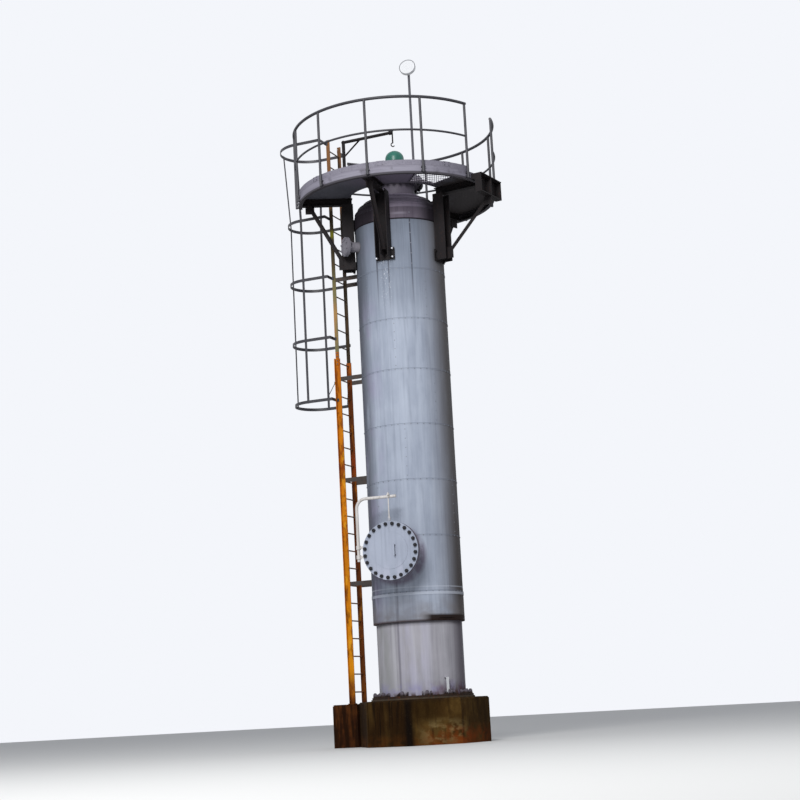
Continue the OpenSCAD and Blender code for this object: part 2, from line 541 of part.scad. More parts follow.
module ladder_rungs() {
  n = floor((ladder_z1 - ladder_z0 - 240) / rung_step);
  color([0.3, 0.24, 0.15]) lad() for (i = [0 : n]) translate([-ladder_w / 2 + e / 2, 0, ladder_z0 + 180 + i * rung_step]) rotate([0, 90, 0]) cylinder(r = 11, h = ladder_w - e, $fn = 32);
}
module ladder_clips() {
  color([0.7, 0.62, 0.1]) rotate([0, 0, ladder_az]) for (z = lclip_zs) for (s = [-1, 1]) difference() {
    translate([s * (ladder_w / 2 + 6) - 6, -ladder_r + (z > ladder_split ? 32 : 45) + e, z - 35]) cube([12, ladder_r - 32 - 600 + (z > ladder_split ? 0 : -13), 70]);
    translate([0, 0, z - 100]) cylinder(r = rs + 0.2, h = 200, $fn = 360);
  }
}
// hoop: two straight legs out from the stringers and a half circle
module hoop_shape(w, L, off) {
  difference() {
    union() { translate([-w / 2 - off, -L]) square([w + 2 * off, L]); translate([0, -L]) circle(r = w / 2 + off); }
    union() { translate([-w / 2, -L]) square([w, L + w]); translate([0, -L]) circle(r = w / 2); }
  }
}
module cage_hoops() {
  n = len(cage_zs) - 1;
  color([0.2, 0.2, 0.22]) lad() {
    for (i = [0 : n - 1]) hoop(cage_zs[i], cage_w);
    hoop(cage_zs[n], cage_w + 2 * cage_flare);
    // braces that carry the lowest hoop
    for (s = [-1, 1]) {
      p = [s * (cage_r + 4), -145, cage_zs[0]]; q = [s * (ladder_w / 2 + 42), -50, cage_zs[0] + 285]; d = q - p;
      translate(p) rotate([0, acos(d[2] / norm(d)), atan2(d[1], d[0])]) cylinder(r = 6, h = norm(d), $fn = 24);
      translate(q + [-16, -4, -22]) cube([32, 8.7, 44]);
    }
  }
}
module hoop(z, w) {
  st = z < ladder_split ? 45 : 32;
  translate([0, 0, z - 25]) linear_extrude(50) translate([0, -st]) hoop_shape(w, cage_leg - st, 8);
  for (s = [-1, 1]) translate([s > 0 ? ladder_w / 2 + 12 : -w / 2 - 8, -st - 8, z - 25]) cube([w / 2 + 8 - ladder_w / 2 - 12, 8, 50]);
  for (s = [-1, 1]) translate([s > 0 ? ladder_w / 2 + 12 : -ladder_w / 2 - 20, -st - 8, z - 25]) cube([8, st + 8, 50]);
}
// upright straps inside the hoops, bent outward above the last full hoop
module cage_straps() {
  n = len(cage_zs) - 1; zb = cage_zs[0] - 25; zm = cage_zs[n - 1] + 25; zt = cage_zs[n] + 25; x0 = -cage_r + e; x1 = x0 - cage_flare;
  color([0.2, 0.2, 0.22]) lad() for (a = [-90, 0, 90]) translate([0, -cage_leg, 0]) rotate([0, 0, a]) translate([-20, 0, 0]) {
    translate([0, x0, zb]) cube([40, 6, zm - zb]);
    rotate([90, 0, 90]) linear_extrude(40) polygon([[x0, zm - 1], [x0 + 6, zm - 1], [x1 + 6, zt - 50], [x1 + 6, zt], [x1, zt], [x1, zt - 50]]);
  }
}
module lamp_post() {
  color([0.5, 0.52, 0.55]) rotate([0, 0, lamp_az]) {
    translate([0, -lamp_r, deck_z]) cylinder(r = 60, h = 10);
    translate([0, -lamp_r, deck_z]) cylinder(r = 22, h = lamp_h - 60);
    for (z = [deck_z + rail_h / 2 - 25, deck_z + rail_h - rail_d / 2 - 25]) difference() {
      translate([-35, -rail_r, z]) cube([70, rail_r - lamp_r, 50]);
      sweep(-8, 16) translate([rail_r, z + 25]) circle(d = (z < deck_z + rail_h * 0.7 ? rail_d - 14 : rail_d) + e);
    }
  }
}
module lamp_head() {
  color([0.85, 0.86, 0.86]) translate([lamp_r * sin(lamp_az), -lamp_r * cos(lamp_az), deck_z + lamp_h]) rotate([0, 0, -14]) {
    translate([0, 0, -60]) cylinder(r = 26, h = 70);
    rotate([78, 0, 0]) translate([0, 0, -30]) {
      cylinder(d1 = lamp_d * 0.6, d2 = lamp_d, h = 70);
      translate([0, 0, 70]) cylinder(d = lamp_d, h = 45);
      translate([0, 0, 115]) tube(lamp_d / 2 + 6, lamp_d / 2 - 10, 10);
    }
  }
}
module earth_strap() {
  color([0.8, 0.8, 0.8]) rotate([0, 0, 32]) {
    translate([-25, -rsk - 60, skirt_z0 + 250]) cube([50, 60 + 4, 10]);
    translate([-25, -rsk - 60, ped_h]) cube([50, 6, 0.01 + skirt_z0 - ped_h + 250]);
  }
}

pedestal();
grout();
base_ring();
anchor_bolts();
skirt();
bottom_head();
bottoms_nozzle();
shell();
jacket_foot();
jacket_lower();
jacket_middle();
jacket_upper();
top_head();
dome_cover();
top_neck();
top_cover();
top_studs();
vent_valve();
top_davit();
side_neck();
side_cover();
side_studs();
side_davit();
upper_nozzle();
feed_nozzle();
vapour_nozzle();
return_nozzle();
brackets();
deck_frame();
deck_plate();
deck_grating();
toe_plate();
guardrail_near();
guardrail_far();
bridge_seat();
ladder_lower();
ladder_upper();
ladder_rungs();
ladder_clips();
ladder_plinth();
cage_hoops();
cage_straps();
lamp_post();
lamp_head();
earth_strap();
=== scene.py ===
# %% [markdown]
# # Distillation column
# A column of this kind is a pressure vessel that stands on a plate skirt and a
# concrete pedestal, wrapped in insulation and a sheet jacket, with a ring
# platform round its top head and a caged ladder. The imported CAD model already
# holds every part with a real size. This file gives those parts their finishes
# and adds what is too small for the CAD: screws, laps, weld beads and bolts.

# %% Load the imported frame
import json
import math

import bmesh
import bpy
from mathutils import Matrix, Vector
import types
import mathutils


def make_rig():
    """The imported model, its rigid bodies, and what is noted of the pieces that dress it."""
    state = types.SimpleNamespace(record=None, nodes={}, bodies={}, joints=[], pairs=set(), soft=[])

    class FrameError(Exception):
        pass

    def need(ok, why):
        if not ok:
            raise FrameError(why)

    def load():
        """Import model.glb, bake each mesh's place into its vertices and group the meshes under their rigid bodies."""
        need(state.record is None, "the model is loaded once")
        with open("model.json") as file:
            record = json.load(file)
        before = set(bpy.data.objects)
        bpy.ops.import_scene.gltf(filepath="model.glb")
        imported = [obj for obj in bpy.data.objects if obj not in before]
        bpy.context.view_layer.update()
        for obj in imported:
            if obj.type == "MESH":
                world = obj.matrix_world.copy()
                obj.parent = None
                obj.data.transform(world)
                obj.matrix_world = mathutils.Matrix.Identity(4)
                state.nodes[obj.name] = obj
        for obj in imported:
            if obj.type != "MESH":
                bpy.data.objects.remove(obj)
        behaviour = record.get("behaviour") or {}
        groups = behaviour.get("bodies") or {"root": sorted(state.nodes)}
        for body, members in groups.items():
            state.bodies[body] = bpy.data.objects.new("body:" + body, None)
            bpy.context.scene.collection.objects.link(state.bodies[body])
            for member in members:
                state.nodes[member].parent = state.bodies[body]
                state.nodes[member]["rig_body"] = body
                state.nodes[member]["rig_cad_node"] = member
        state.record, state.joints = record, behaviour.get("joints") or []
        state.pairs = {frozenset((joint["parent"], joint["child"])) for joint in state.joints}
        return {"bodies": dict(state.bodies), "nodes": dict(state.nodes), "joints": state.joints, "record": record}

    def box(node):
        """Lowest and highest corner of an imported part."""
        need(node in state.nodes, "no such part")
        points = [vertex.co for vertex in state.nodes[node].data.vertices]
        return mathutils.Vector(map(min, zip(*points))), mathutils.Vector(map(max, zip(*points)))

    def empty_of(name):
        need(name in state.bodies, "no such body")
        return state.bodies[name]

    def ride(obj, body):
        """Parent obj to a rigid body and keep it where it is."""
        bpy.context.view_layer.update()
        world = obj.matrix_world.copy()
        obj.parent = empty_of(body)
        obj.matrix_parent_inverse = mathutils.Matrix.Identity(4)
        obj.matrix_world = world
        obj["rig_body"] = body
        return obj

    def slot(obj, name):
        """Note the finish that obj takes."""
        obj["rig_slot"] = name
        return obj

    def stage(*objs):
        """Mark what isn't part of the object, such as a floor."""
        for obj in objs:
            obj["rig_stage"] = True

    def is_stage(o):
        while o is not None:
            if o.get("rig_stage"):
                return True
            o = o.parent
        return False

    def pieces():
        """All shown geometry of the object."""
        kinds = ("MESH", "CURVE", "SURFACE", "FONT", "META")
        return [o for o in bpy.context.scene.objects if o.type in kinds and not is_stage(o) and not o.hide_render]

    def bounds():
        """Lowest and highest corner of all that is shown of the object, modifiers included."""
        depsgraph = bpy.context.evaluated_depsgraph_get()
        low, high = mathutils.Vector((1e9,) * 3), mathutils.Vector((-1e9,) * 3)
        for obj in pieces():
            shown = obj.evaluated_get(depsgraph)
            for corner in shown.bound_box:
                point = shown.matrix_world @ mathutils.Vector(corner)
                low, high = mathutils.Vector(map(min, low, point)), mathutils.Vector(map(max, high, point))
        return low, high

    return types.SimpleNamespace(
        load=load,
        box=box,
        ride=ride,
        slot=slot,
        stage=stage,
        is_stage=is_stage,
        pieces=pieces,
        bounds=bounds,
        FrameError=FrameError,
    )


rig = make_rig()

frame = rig.load()
nodes = frame["nodes"]
cad_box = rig.bounds()
print(len(nodes), "nodes, box", cad_box)

# %% [markdown]
# ## Colour and shader helpers
# Colours are written as the hex values a screen shows, because that is how a
# paint is picked. The shader wants linear light, so one function turns the one
# into the other, and one more adds a node with its settings and links.

# %% Colour and node helpers
def linear(hex_text):
    """A screen colour such as #9fa7b6 as the linear colour a shader takes."""
    out = []
    for start in (1, 3, 5):
        shade = int(hex_text[start:start + 2], 16) / 255
        out.append(shade / 12.92 if shade <= 0.04045 else ((shade + 0.055) / 1.055) ** 2.4)
    return (*out, 1.0)


def add(tree, kind, values=(), links=(), **settings):
    """Adds one node, sets its values by socket and links its inputs."""
    node = tree.nodes.new(kind)
    for key, value in settings.items():
        setattr(node, key, value)
    for socket, value in dict(values).items():
        node.inputs[socket].default_value = value
    for socket, source in dict(links).items():
        tree.links.new(source, node.inputs[socket])
    return node


print("pale sheet in linear light", [round(c, 3) for c in linear("#9fa7b6")[:3]])

# %% [markdown]
# ## A coat and the marks on it
# A finish is built up as it is on the real steel: one coat of colour, then
# marks over it. A mark is a colour, an amount and one or more masks, and it
# shows where all its masks are on. Rain, soot and rust could be painted by
# hand on an image, but masks made of numbers stay sharp at any distance and
# follow the real sizes.

# %% A coat of paint
def coat(name, hex_text, roughness=0.6, metallic=0.0, specular=0.5):
    """A new material, kept with its tree and its present colour."""
    mat = bpy.data.materials.new(name)
    mat.use_nodes = True
    tree = mat.node_tree
    tree.nodes.clear()
    shader = add(tree, "ShaderNodeBsdfPrincipled", values={
        "Base Color": linear(hex_text),
        "Roughness": roughness,
        "Metallic": metallic,
        "Specular IOR Level": specular,
    })
    add(tree, "ShaderNodeOutputMaterial", links={"Surface": shader.outputs[0]})
    where = add(tree, "ShaderNodeTexCoord").outputs["Object"]
    axes = add(tree, "ShaderNodeSeparateXYZ", links={"Vector": where}).outputs
    return {"mat": mat, "tree": tree, "shader": shader, "where": where, "colour": linear(hex_text),
            "X": axes[0], "Y": axes[1], "Z": axes[2]}


# A Mix node has one pair of inputs for each kind of value. The colours have 6
# and 7, and their result is 2.
UNDER, OVER, RESULT = 6, 7, 2


def mark(c, hex_text, amount, mask, *others):
    """Lays a colour over the coat where every mask is on."""
    for other in others:
        mask = add(c["tree"], "ShaderNodeMath", links={0: mask, 1: other}, operation="MULTIPLY").outputs[0]
    if amount != 1.0:
        mask = add(c["tree"], "ShaderNodeMath", values={1: amount}, links={0: mask},
                   operation="MULTIPLY").outputs[0]
    mix = add(c["tree"], "ShaderNodeMix", values={OVER: linear(hex_text)}, links={"Factor": mask},
              data_type="RGBA")
    if isinstance(c["colour"], tuple):
        mix.inputs[UNDER].default_value = c["colour"]
    else:
        c["tree"].links.new(c["colour"], mix.inputs[UNDER])
    c["colour"] = mix.outputs[RESULT]
    c["tree"].links.new(c["colour"], c["shader"].inputs["Base Color"])


# %% [markdown]
# ## Masks
# `rise` goes from 0 to 1 between two places, so that dirt can gather at a foot
# or under an edge. `grain` is noise with a spot size in millimetres, and drawn
# out along Z it becomes rain streaks. `line` is a thin stripe. `reach` goes by
# the distance from a centre, and `facing` by which way the skin looks, which
# tells the rim of a flange from its face.

# %% Masks from places, distances and directions
def rise(c, measure, start, full):
    """0 at start and 1 at full, for X, Y or Z in metres or for another socket's number."""
    value = c[measure] if isinstance(measure, str) else measure
    return add(c["tree"], "ShaderNodeMapRange", values={"From Min": start, "From Max": full},
               links={"Value": value}).outputs[0]


def grain(c, spot_mm, low, high, stretch=1.0, detail=4.0, rough=0.55):
    """Noise from 0 to 1 with spots of a real size; stretch draws them out along Z."""
    squeezed = add(c["tree"], "ShaderNodeMapping", values={"Scale": (1, 1, 1 / stretch)},
                   links={"Vector": c["where"]})
    noise = add(c["tree"], "ShaderNodeTexNoise", links={"Vector": squeezed.outputs[0]},
                values={"Scale": 1000 / spot_mm, "Detail": detail, "Roughness": rough})
    return rise(c, noise.outputs["Fac"], low, high)


def line(c, axis, place, half):
    """A soft stripe of a half width round one place on an axis."""
    below = rise(c, axis, place - half, place - half / 3)
    above = rise(c, axis, place + half, place + half / 3)
    return add(c["tree"], "ShaderNodeMath", links={0: below, 1: above}, operation="MULTIPLY").outputs[0]


def reach(c, centre, axes, start, full):
    """0 at one distance from a centre and 1 at another, along the axes set to 1."""
    apart = add(c["tree"], "ShaderNodeVectorMath", values={1: centre}, links={0: c["where"]},
                operation="SUBTRACT")
    flat = add(c["tree"], "ShaderNodeVectorMath", values={1: axes}, links={0: apart.outputs[0]},
               operation="MULTIPLY")
    distance = add(c["tree"], "ShaderNodeVectorMath", links={0: flat.outputs[0]}, operation="LENGTH")
    return rise(c, distance.outputs["Value"], start, full)


def facing(c, way, start, full):
    """0 to 1 by how far the skin looks the way of a unit vector."""
    skin = add(c["tree"], "ShaderNodeNewGeometry").outputs["Normal"]
    turned_to = add(c["tree"], "ShaderNodeVectorMath", values={1: way}, links={0: skin},
                    operation="DOT_PRODUCT")
    return rise(c, turned_to.outputs["Value"], start, full)


# %% [markdown]
# ## Paint that has stood outdoors
# Nearly every part here is painted steel of the same age, so one function lays
# the three things that age does to it: a cloud of dirt, rain streaks and rust.
# Each part then only gives its colours and how far it has gone. Bump is enough
# for the skin, because its dents are far too shallow to show in the outline.

# %% Relief and old paint
def relief(c, spot_mm, depth_mm, strength=0.3, detail=3.0):
    """Small dents or pits in the skin, by bump."""
    noise = add(c["tree"], "ShaderNodeTexNoise", values={"Scale": 1000 / spot_mm, "Detail": detail},
                links={"Vector": c["where"]})
    dents = add(c["tree"], "ShaderNodeBump", values={"Strength": strength, "Distance": depth_mm / 1000},
                links={"Height": noise.outputs["Fac"]})
    c["tree"].links.new(dents.outputs[0], c["shader"].inputs["Normal"])


def weathered(name, hex_text, cloud, streak, rust, rusting=0.3, streaks=0.5, roughness=0.6,
              streak_mm=60, rust_mm=35, specular=0.5):
    """Painted steel outdoors: soft dirt, rain streaks and rust that breaks through."""
    c = coat(name, hex_text, roughness, specular=specular)
    # Dirt lies in clouds of 400 mm, and a streak is 25 times as long as it is wide
    mark(c, cloud, 0.75, grain(c, 400, 0.38, 0.66, 1.6))
    mark(c, streak, streaks, grain(c, streak_mm, 0.5, 0.72, 25, 5.0))
    # The more it rusts, the more of the noise is rust and the more it covers
    rust_from = 0.66 - 0.2 * rusting
    rust_spots = grain(c, rust_mm, rust_from, rust_from + 0.1, 1.4, 7.0, 0.65)
    mark(c, rust, min(1.0, 1.3 * rusting), rust_spots)
    relief(c, 11, 3, 0.12)
    return c


# %% Dressing a part
dressed = set()


def dress(c, *names):
    """Puts a finish on the CAD nodes that have it."""
    for name in names:
        nodes[name].data.materials.clear()
        nodes[name].data.materials.append(c["mat"])
        dressed.add(name)
    print(c["mat"].name, "on", ", ".join(names))


# %% [markdown]
# ## Jacket sheet
# The jacket is coated steel sheet over mineral wool. Its coating has gone
# chalky, which makes it matt and a little blue. Rain that drips from the
# platform has drawn dark runs down the top lengths, and painted shade and soot
# darken them under the platform. Both sides have painted shade towards their
# edges, on the right over a brown-grey film, and the left side has a faint
# violet tint of painted shade.

# %% The sheet's coat and the painted violet shade
jacket = weathered("chalky_coated_sheet", "#a6aebd", "#939bab", "#7d8493", "#6b5a50", rusting=0.02,
                   roughness=0.75, specular=0.08)
front = rise(jacket, "Y", 0.0, -0.2)
# Painted shade as a faint violet tint on the left, then pale streaks that fade out towards the top
mark(jacket, "#a594b8", 0.4, rise(jacket, "X", -0.36, -0.62), front, grain(jacket, 500, 0.46, 0.62, 1.2))
mark(jacket, "#b7bfcd", 0.4, grain(jacket, 110, 0.5, 0.68, 10, 4.0), rise(jacket, "Z", 8.2, 6.5))
print("coat of the jacket", len(jacket["tree"].nodes), "shader nodes")

# %% Runs, soot and painted shade on the top lengths
# Dark streaks that gain upwards, then a grey veil of painted shade and, under the platform, painted shade clouded by
# soot
mark(jacket, "#737985", 0.7, grain(jacket, 45, 0.5, 0.62, 30, 5.0), rise(jacket, "Z", 6.4, 8.4))
mark(jacket, "#747c8a", 0.7, rise(jacket, "Z", 6.6, 7.6))
mark(jacket, "#5b626e", 0.6, rise(jacket, "Z", 7.7, 8.45), grain(jacket, 250, 0.2, 0.55, 3))
print("with the top lengths", len(jacket["tree"].nodes), "shader nodes")

# %% Painted shade on the two sides
limb_shade_front = rise(jacket, "Y", 0.45, -0.05)
# The right side: a brown-grey film and painted shade that darken towards the edge, most of all low down
mark(jacket, "#787981", 0.55, rise(jacket, "X", 0.28, 0.5), limb_shade_front,
     grain(jacket, 500, 0.2, 0.45, 3))
mark(jacket, "#5b5653", 0.85, rise(jacket, "X", 0.46, 0.66), limb_shade_front,
     grain(jacket, 260, 0.1, 0.4, 6))
mark(jacket, "#38302d", 0.6, rise(jacket, "X", 0.5, 0.66), limb_shade_front, rise(jacket, "Z", 4.5, 2.5))
# Painted shade on the left edge, darker again on the upper lengths
mark(jacket, "#54575f", 0.85, rise(jacket, "X", -0.52, -0.69), limb_shade_front,
     grain(jacket, 200, 0.15, 0.45, 4))
mark(jacket, "#4b5059", 0.55, rise(jacket, "X", -0.5, -0.68), rise(jacket, "Z", 6.3, 7.4), limb_shade_front)
print("with the dark sides", len(jacket["tree"].nodes), "shader nodes")

# %% Thin runs, painted glints, stains and painted shade on the front
# Three thin runs below the platform's brackets, with painted glints as bright flecks beside them
for place in (-0.378, -0.19, 0.19):
    mark(jacket, "#3a3b44", 0.85, line(jacket, "X", place, 0.016), rise(jacket, "Z", 6.9, 7.8), front)
mark(jacket, "#dfe3ea", 0.9, line(jacket, "X", -0.25, 0.12), line(jacket, "Z", 7.5, 0.7), front,
     grain(jacket, 14, 0.62, 0.66, 2))
# A dark run that comes down from the manhole
mark(jacket, "#4a4a55", 0.75, line(jacket, "X", -0.33, 0.035), rise(jacket, "Z", 2.75, 2.5), front,
     grain(jacket, 60, 0.35, 0.55, 12))
# The foot length: a grey-brown film, a painted shadow under the manhole and a rusty hem
mark(jacket, "#76706f", 0.75, rise(jacket, "Z", 2.3, 1.98), grain(jacket, 260, 0.25, 0.6, 0.8))
mark(jacket, "#6e717b", 0.55, rise(jacket, "Z", 2.35, 2.2), line(jacket, "X", -0.3, 0.4), front)
mark(jacket, "#3c2c2a", 0.85, rise(jacket, "Z", 1.935, 1.905))
# Painted shade and grime round the manhole, which reaches a little past its flanges
manhole_shade_centre = (-0.30, 0, 2.94)
manhole_shade_ring = reach(jacket, manhole_shade_centre, (1, 0, 1), 0.50, 0.43)
mark(jacket, "#655a6c", 0.75, manhole_shade_ring, front, grain(jacket, 120, 0.2, 0.5, 1.5))
print("with the front's stains", len(jacket["tree"].nodes), "shader nodes")

# %% Shadow lines at the seams and the corroded notch
# The heights are those of the level seams, and the last is the jacket's top.
seams = [2.350, 3.229, 4.121, 5.013, 5.911, 6.746, 7.581, 8.616]
for seam in seams[:-1]:
    mark(jacket, "#6c7280", 0.55, line(jacket, "Z", seam + 0.018, 0.008))
# A pale line over the raised band, and the band itself paler
mark(jacket, "#c3c9d5", 0.45, line(jacket, "Z", 2.43, 0.012))
mark(jacket, "#c9cfdb", 0.45, rise(jacket, "Z", 2.3, 2.312), rise(jacket, "Z", 2.352, 2.348))
# The notch that has rusted out of the hem on the right
mark(jacket, "#20140f", 0.97, rise(jacket, "X", 0.05, 0.2), rise(jacket, "Z", 2.01, 1.975), front,
     grain(jacket, 150, 0.2, 0.38, 1))
dress(jacket, "jacket_foot", "jacket_lower", "jacket_middle", "jacket_upper")
print("with seams and notch", len(jacket["tree"].nodes), "shader nodes")

# %% [markdown]
# ## Dome cover
# The dome is made of the same sheet, but soot and oil from the platform lie on
# it, so it is dark and purple-brown. Its darkest parts, at both sides where the
# platform shades it, are painted shade, and its paler middle in front is a
# painted highlight. It could share the jacket's material, but one of its own is
# easier to read than still more masks on that one.

# %% Dome cover
dome = weathered("sooty_dome_sheet_with_painted_shade", "#958b9c", "#7d7383", "#5a515e", "#4a3a30", rusting=0.1,
                 roughness=0.7, specular=0.2)
mark(dome, "#241f26", 0.25, rise(dome, "Z", 8.655, 8.64))
# A painted highlight in the middle of the front, then painted shade at both sides
mark(dome, "#968c9d", 0.5, line(dome, "X", 0.0, 0.34), rise(dome, "Y", 0, -0.2))
mark(dome, "#1b171c", 0.85, rise(dome, "X", 0.3, 0.5))
mark(dome, "#1b171c", 0.9, rise(dome, "X", -0.24, -0.44))
dress(dome, "dome_cover")

# %% [markdown]
# ## Skirt
# The skirt is plate under a light grey finish coat, as matt as the jacket. Rain
# washes it in broad pale stripes, and mud splashed up from the pedestal stains
# its foot. Each stain is laid where it is on the real one, by its place.

# %% Skirt
skirt = weathered("light_grey_finish_coat", "#a6a4ab", "#939298", "#7a787f", "#6a5a4e", rusting=0.05,
                  roughness=0.75, streak_mm=110, specular=0.08)
front = rise(skirt, "Y", 0.0, -0.2)
# Pale rain stripes, a dark run, a painted violet sheen in the middle and a greenish left side
mark(skirt, "#b8b7be", 0.6, grain(skirt, 160, 0.5, 0.6, 30, 3.0))
mark(skirt, "#5c5963", 0.55, line(skirt, "X", -0.335, 0.024), front)
mark(skirt, "#b3b1c6", 0.6, line(skirt, "X", -0.1, 0.3), front, grain(skirt, 260, 0.45, 0.6, 6))
mark(skirt, "#8d8f8c", 0.6, rise(skirt, "X", -0.36, -0.55), front, grain(skirt, 260, 0.35, 0.6, 3))
# Painted shade on the right edge
mark(skirt, "#5d575e", 0.85, rise(skirt, "X", 0.42, 0.63), front)
# The foot: violet in patches, then purple and brown mud towards the right
mark(skirt, "#8f8bb4", 0.6, rise(skirt, "Z", 1.0, 0.85), grain(skirt, 220, 0.42, 0.6, 1))
mark(skirt, "#6a5266", 0.8, rise(skirt, "Z", 1.0, 0.84), rise(skirt, "X", -0.02, 0.3),
     grain(skirt, 160, 0.4, 0.6, 1.5))
mark(skirt, "#4a342a", 0.9, rise(skirt, "Z", 0.96, 0.8), rise(skirt, "X", 0.2, 0.48),
     grain(skirt, 90, 0.36, 0.56, 2))
mark(skirt, "#4a342a", 0.9, rise(skirt, "Z", 0.82, 0.76), grain(skirt, 70, 0.42, 0.56, 2))
# The shade under the jacket's hem
mark(skirt, "#3a3238", 0.8, rise(skirt, "Z", 1.82, 1.9))
dress(skirt, "skirt")

# %% [markdown]
# ## Primed steel and nozzles
# What the skirt and the jacket hide is primed steel that has never been washed.
# Primer is matt and red-brown. The pipes have a smoother enamel, warm grey on
# the main branches and paler and cooler on the blind one under the platform.
# They are far from the eye, so the plain outdoor finish is enough for them.

# %% Primer and pipe enamels
primed = weathered("red_oxide_primer", "#5b4a42", "#4b3b34", "#3a2d28", "#6a3c20", rusting=0.5,
                   roughness=0.7)
dress(primed, "shell", "top_head", "bottom_head")
pipe_grey = weathered("grey_pipe_enamel", "#7c7672", "#69615c", "#4c4541", "#6a4128", rusting=0.45)
dress(pipe_grey, "bottoms_nozzle", "feed_nozzle", "vapour_nozzle", "return_nozzle")
pale_pipe = weathered("pale_pipe_enamel", "#78757d", "#625f68", "#47444c", "#5c4638", rusting=0.2)
dress(pale_pipe, "upper_nozzle")

# %% [markdown]
# ## Manholes
# Blind covers are forged flanges with the same grey coat as the jacket, and the
# top one lies under soot. The necks are always in shade, and their violet-grey
# coat is that shade painted in. The studs are bare alloy steel with an oil-black
# skin, which is why they show as a ring of dark teeth. The rims are darkened with
# painted shade, and they are told from the faces by their normals. The vent valve
# is the only piece in teal enamel, and the davit has pale paint that rust has
# only begun to spot.

# %% Covers and necks
MANHOLE_BEARING = -19
outward_of_manhole = (math.sin(math.radians(MANHOLE_BEARING)), -math.cos(math.radians(MANHOLE_BEARING)), 0)
cover = weathered("grey_flange_coat", "#a5acbc", "#979eae", "#7b8190", "#5a4a40", rusting=0.05,
                  streaks=0.35, roughness=0.65, streak_mm=45, specular=0.3)
# The face is cleaner low down, and the rim is darkened with painted shade
mark(cover, "#bcbfd0", 0.6, rise(cover, "Z", 2.85, 2.6), grain(cover, 120, 0.4, 0.6, 4))
mark(cover, "#3b3440", 0.9, facing(cover, outward_of_manhole, 0.7, 0.4))
dress(cover, "side_cover")
lid = weathered("sooty_flange_coat", "#5f5d68", "#4a4852", "#34323a", "#4c3a30", rusting=0.2)
dress(lid, "top_cover")
neck = weathered("shaded_neck_coat", "#7d7a88", "#655f6e", "#453f4d", "#4c382c", rusting=0.2, streaks=0.6,
                 roughness=0.65)
# The side neck has painted shade on the right, and the top neck is darker in the soot
mark(neck, "#5a5060", 0.9, rise(neck, "X", -0.25, -0.05), rise(neck, "Z", 4.0, 3.9))
mark(neck, "#453d49", 0.8, rise(neck, "Z", 8.6, 8.7))
dress(neck, "side_neck", "top_neck")

# %% Studs, valve and davit
stud = coat("black_alloy_steel", "#1b1a1f", 0.45, 0.4)
dress(stud, "side_studs", "top_studs")
valve = weathered("teal_valve_enamel", "#237363", "#195a4e", "#123f3b", "#2c3a2c", rusting=0.1,
                  streaks=0.3, roughness=0.35)
dress(valve, "vent_valve")
davit = weathered("worn_davit_paint", "#d2cecb", "#bdb8b4", "#8a837c", "#6b4630", rusting=0.2,
                  streak_mm=30)
dress(davit, "side_davit")

# %% [markdown]
# ## Platform
# Everything under the walking surface is black-grey from soot, and the brackets
# are darkened further with painted shade. Dust lies on the outer face of the edge
# channel and on the toe plate, which makes one pale band right round; both are
# darker at the right with painted shade, and a painted shadow darkens the
# channel's lower edge. The plate's underside is bluish at the left, purple
# further in as a painted reflection of the jacket's colour, and brown-black at the
# right with painted shade. The top has treads 35 mm apart, made as diamonds by a
# checker turned 45 degrees. The grating is dull zinc, the only bare metal up
# here, and the rails have a smooth dark grey paint.

# %% Edge channel and brackets
frame_paint = weathered("sooty_frame_paint", "#38343a", "#2a262b", "#1b181c", "#3d2b26", rusting=0.3,
                        roughness=0.75)
column_axis = (0, 0, 0)
rim = reach(frame_paint, column_axis, (1, 1, 0), 1.6475, 1.6485)
# Dust on the outer face, with painted shade at the right and a painted shadow at its lower edge
mark(frame_paint, "#8b8895", 0.95, rim, grain(frame_paint, 260, 0.3, 0.45, 1))
mark(frame_paint, "#74707d", 0.6, rim, grain(frame_paint, 500, 0.45, 0.6, 0.05))
mark(frame_paint, "#5b5863", 0.6, rim, rise(frame_paint, "X", 0.3, 1.3))
mark(frame_paint, "#2a262c", 0.9, rim, rise(frame_paint, "Z", 8.93, 8.915))
dress(frame_paint, "deck_frame")

# Soot-black paint whose near-black colour also holds the platform's painted shade
bracket_paint = weathered("soot_black_bracket_paint_with_painted_shade", "#191416", "#130f11", "#0b090a", "#33201a",
                          rusting=0.45, roughness=0.7, specular=0.25)
dress(bracket_paint, "brackets", "bridge_seat", "top_davit")

# %% Plate and grating
TREAD_MM = 35
plate = weathered("sooty_plate_underside_with_painted_light", "#50505a", "#43444e", "#33333c", "#4a372c", rusting=0.2,
                  streaks=0.1, roughness=0.75)
# The underside: a painted reflection of the jacket's purple in the middle, and painted shade in brown-black at the
# right
mark(plate, "#665b6e", 0.75, line(plate, "X", -0.05, 0.9), rise(plate, "Y", -0.6, -0.9),
     rise(plate, "Z", 9.019, 9.017))
mark(plate, "#251c1b", 0.9, rise(plate, "X", 0.45, 0.75), rise(plate, "Z", 9.019, 9.017),
     grain(plate, 400, 0.2, 0.45))
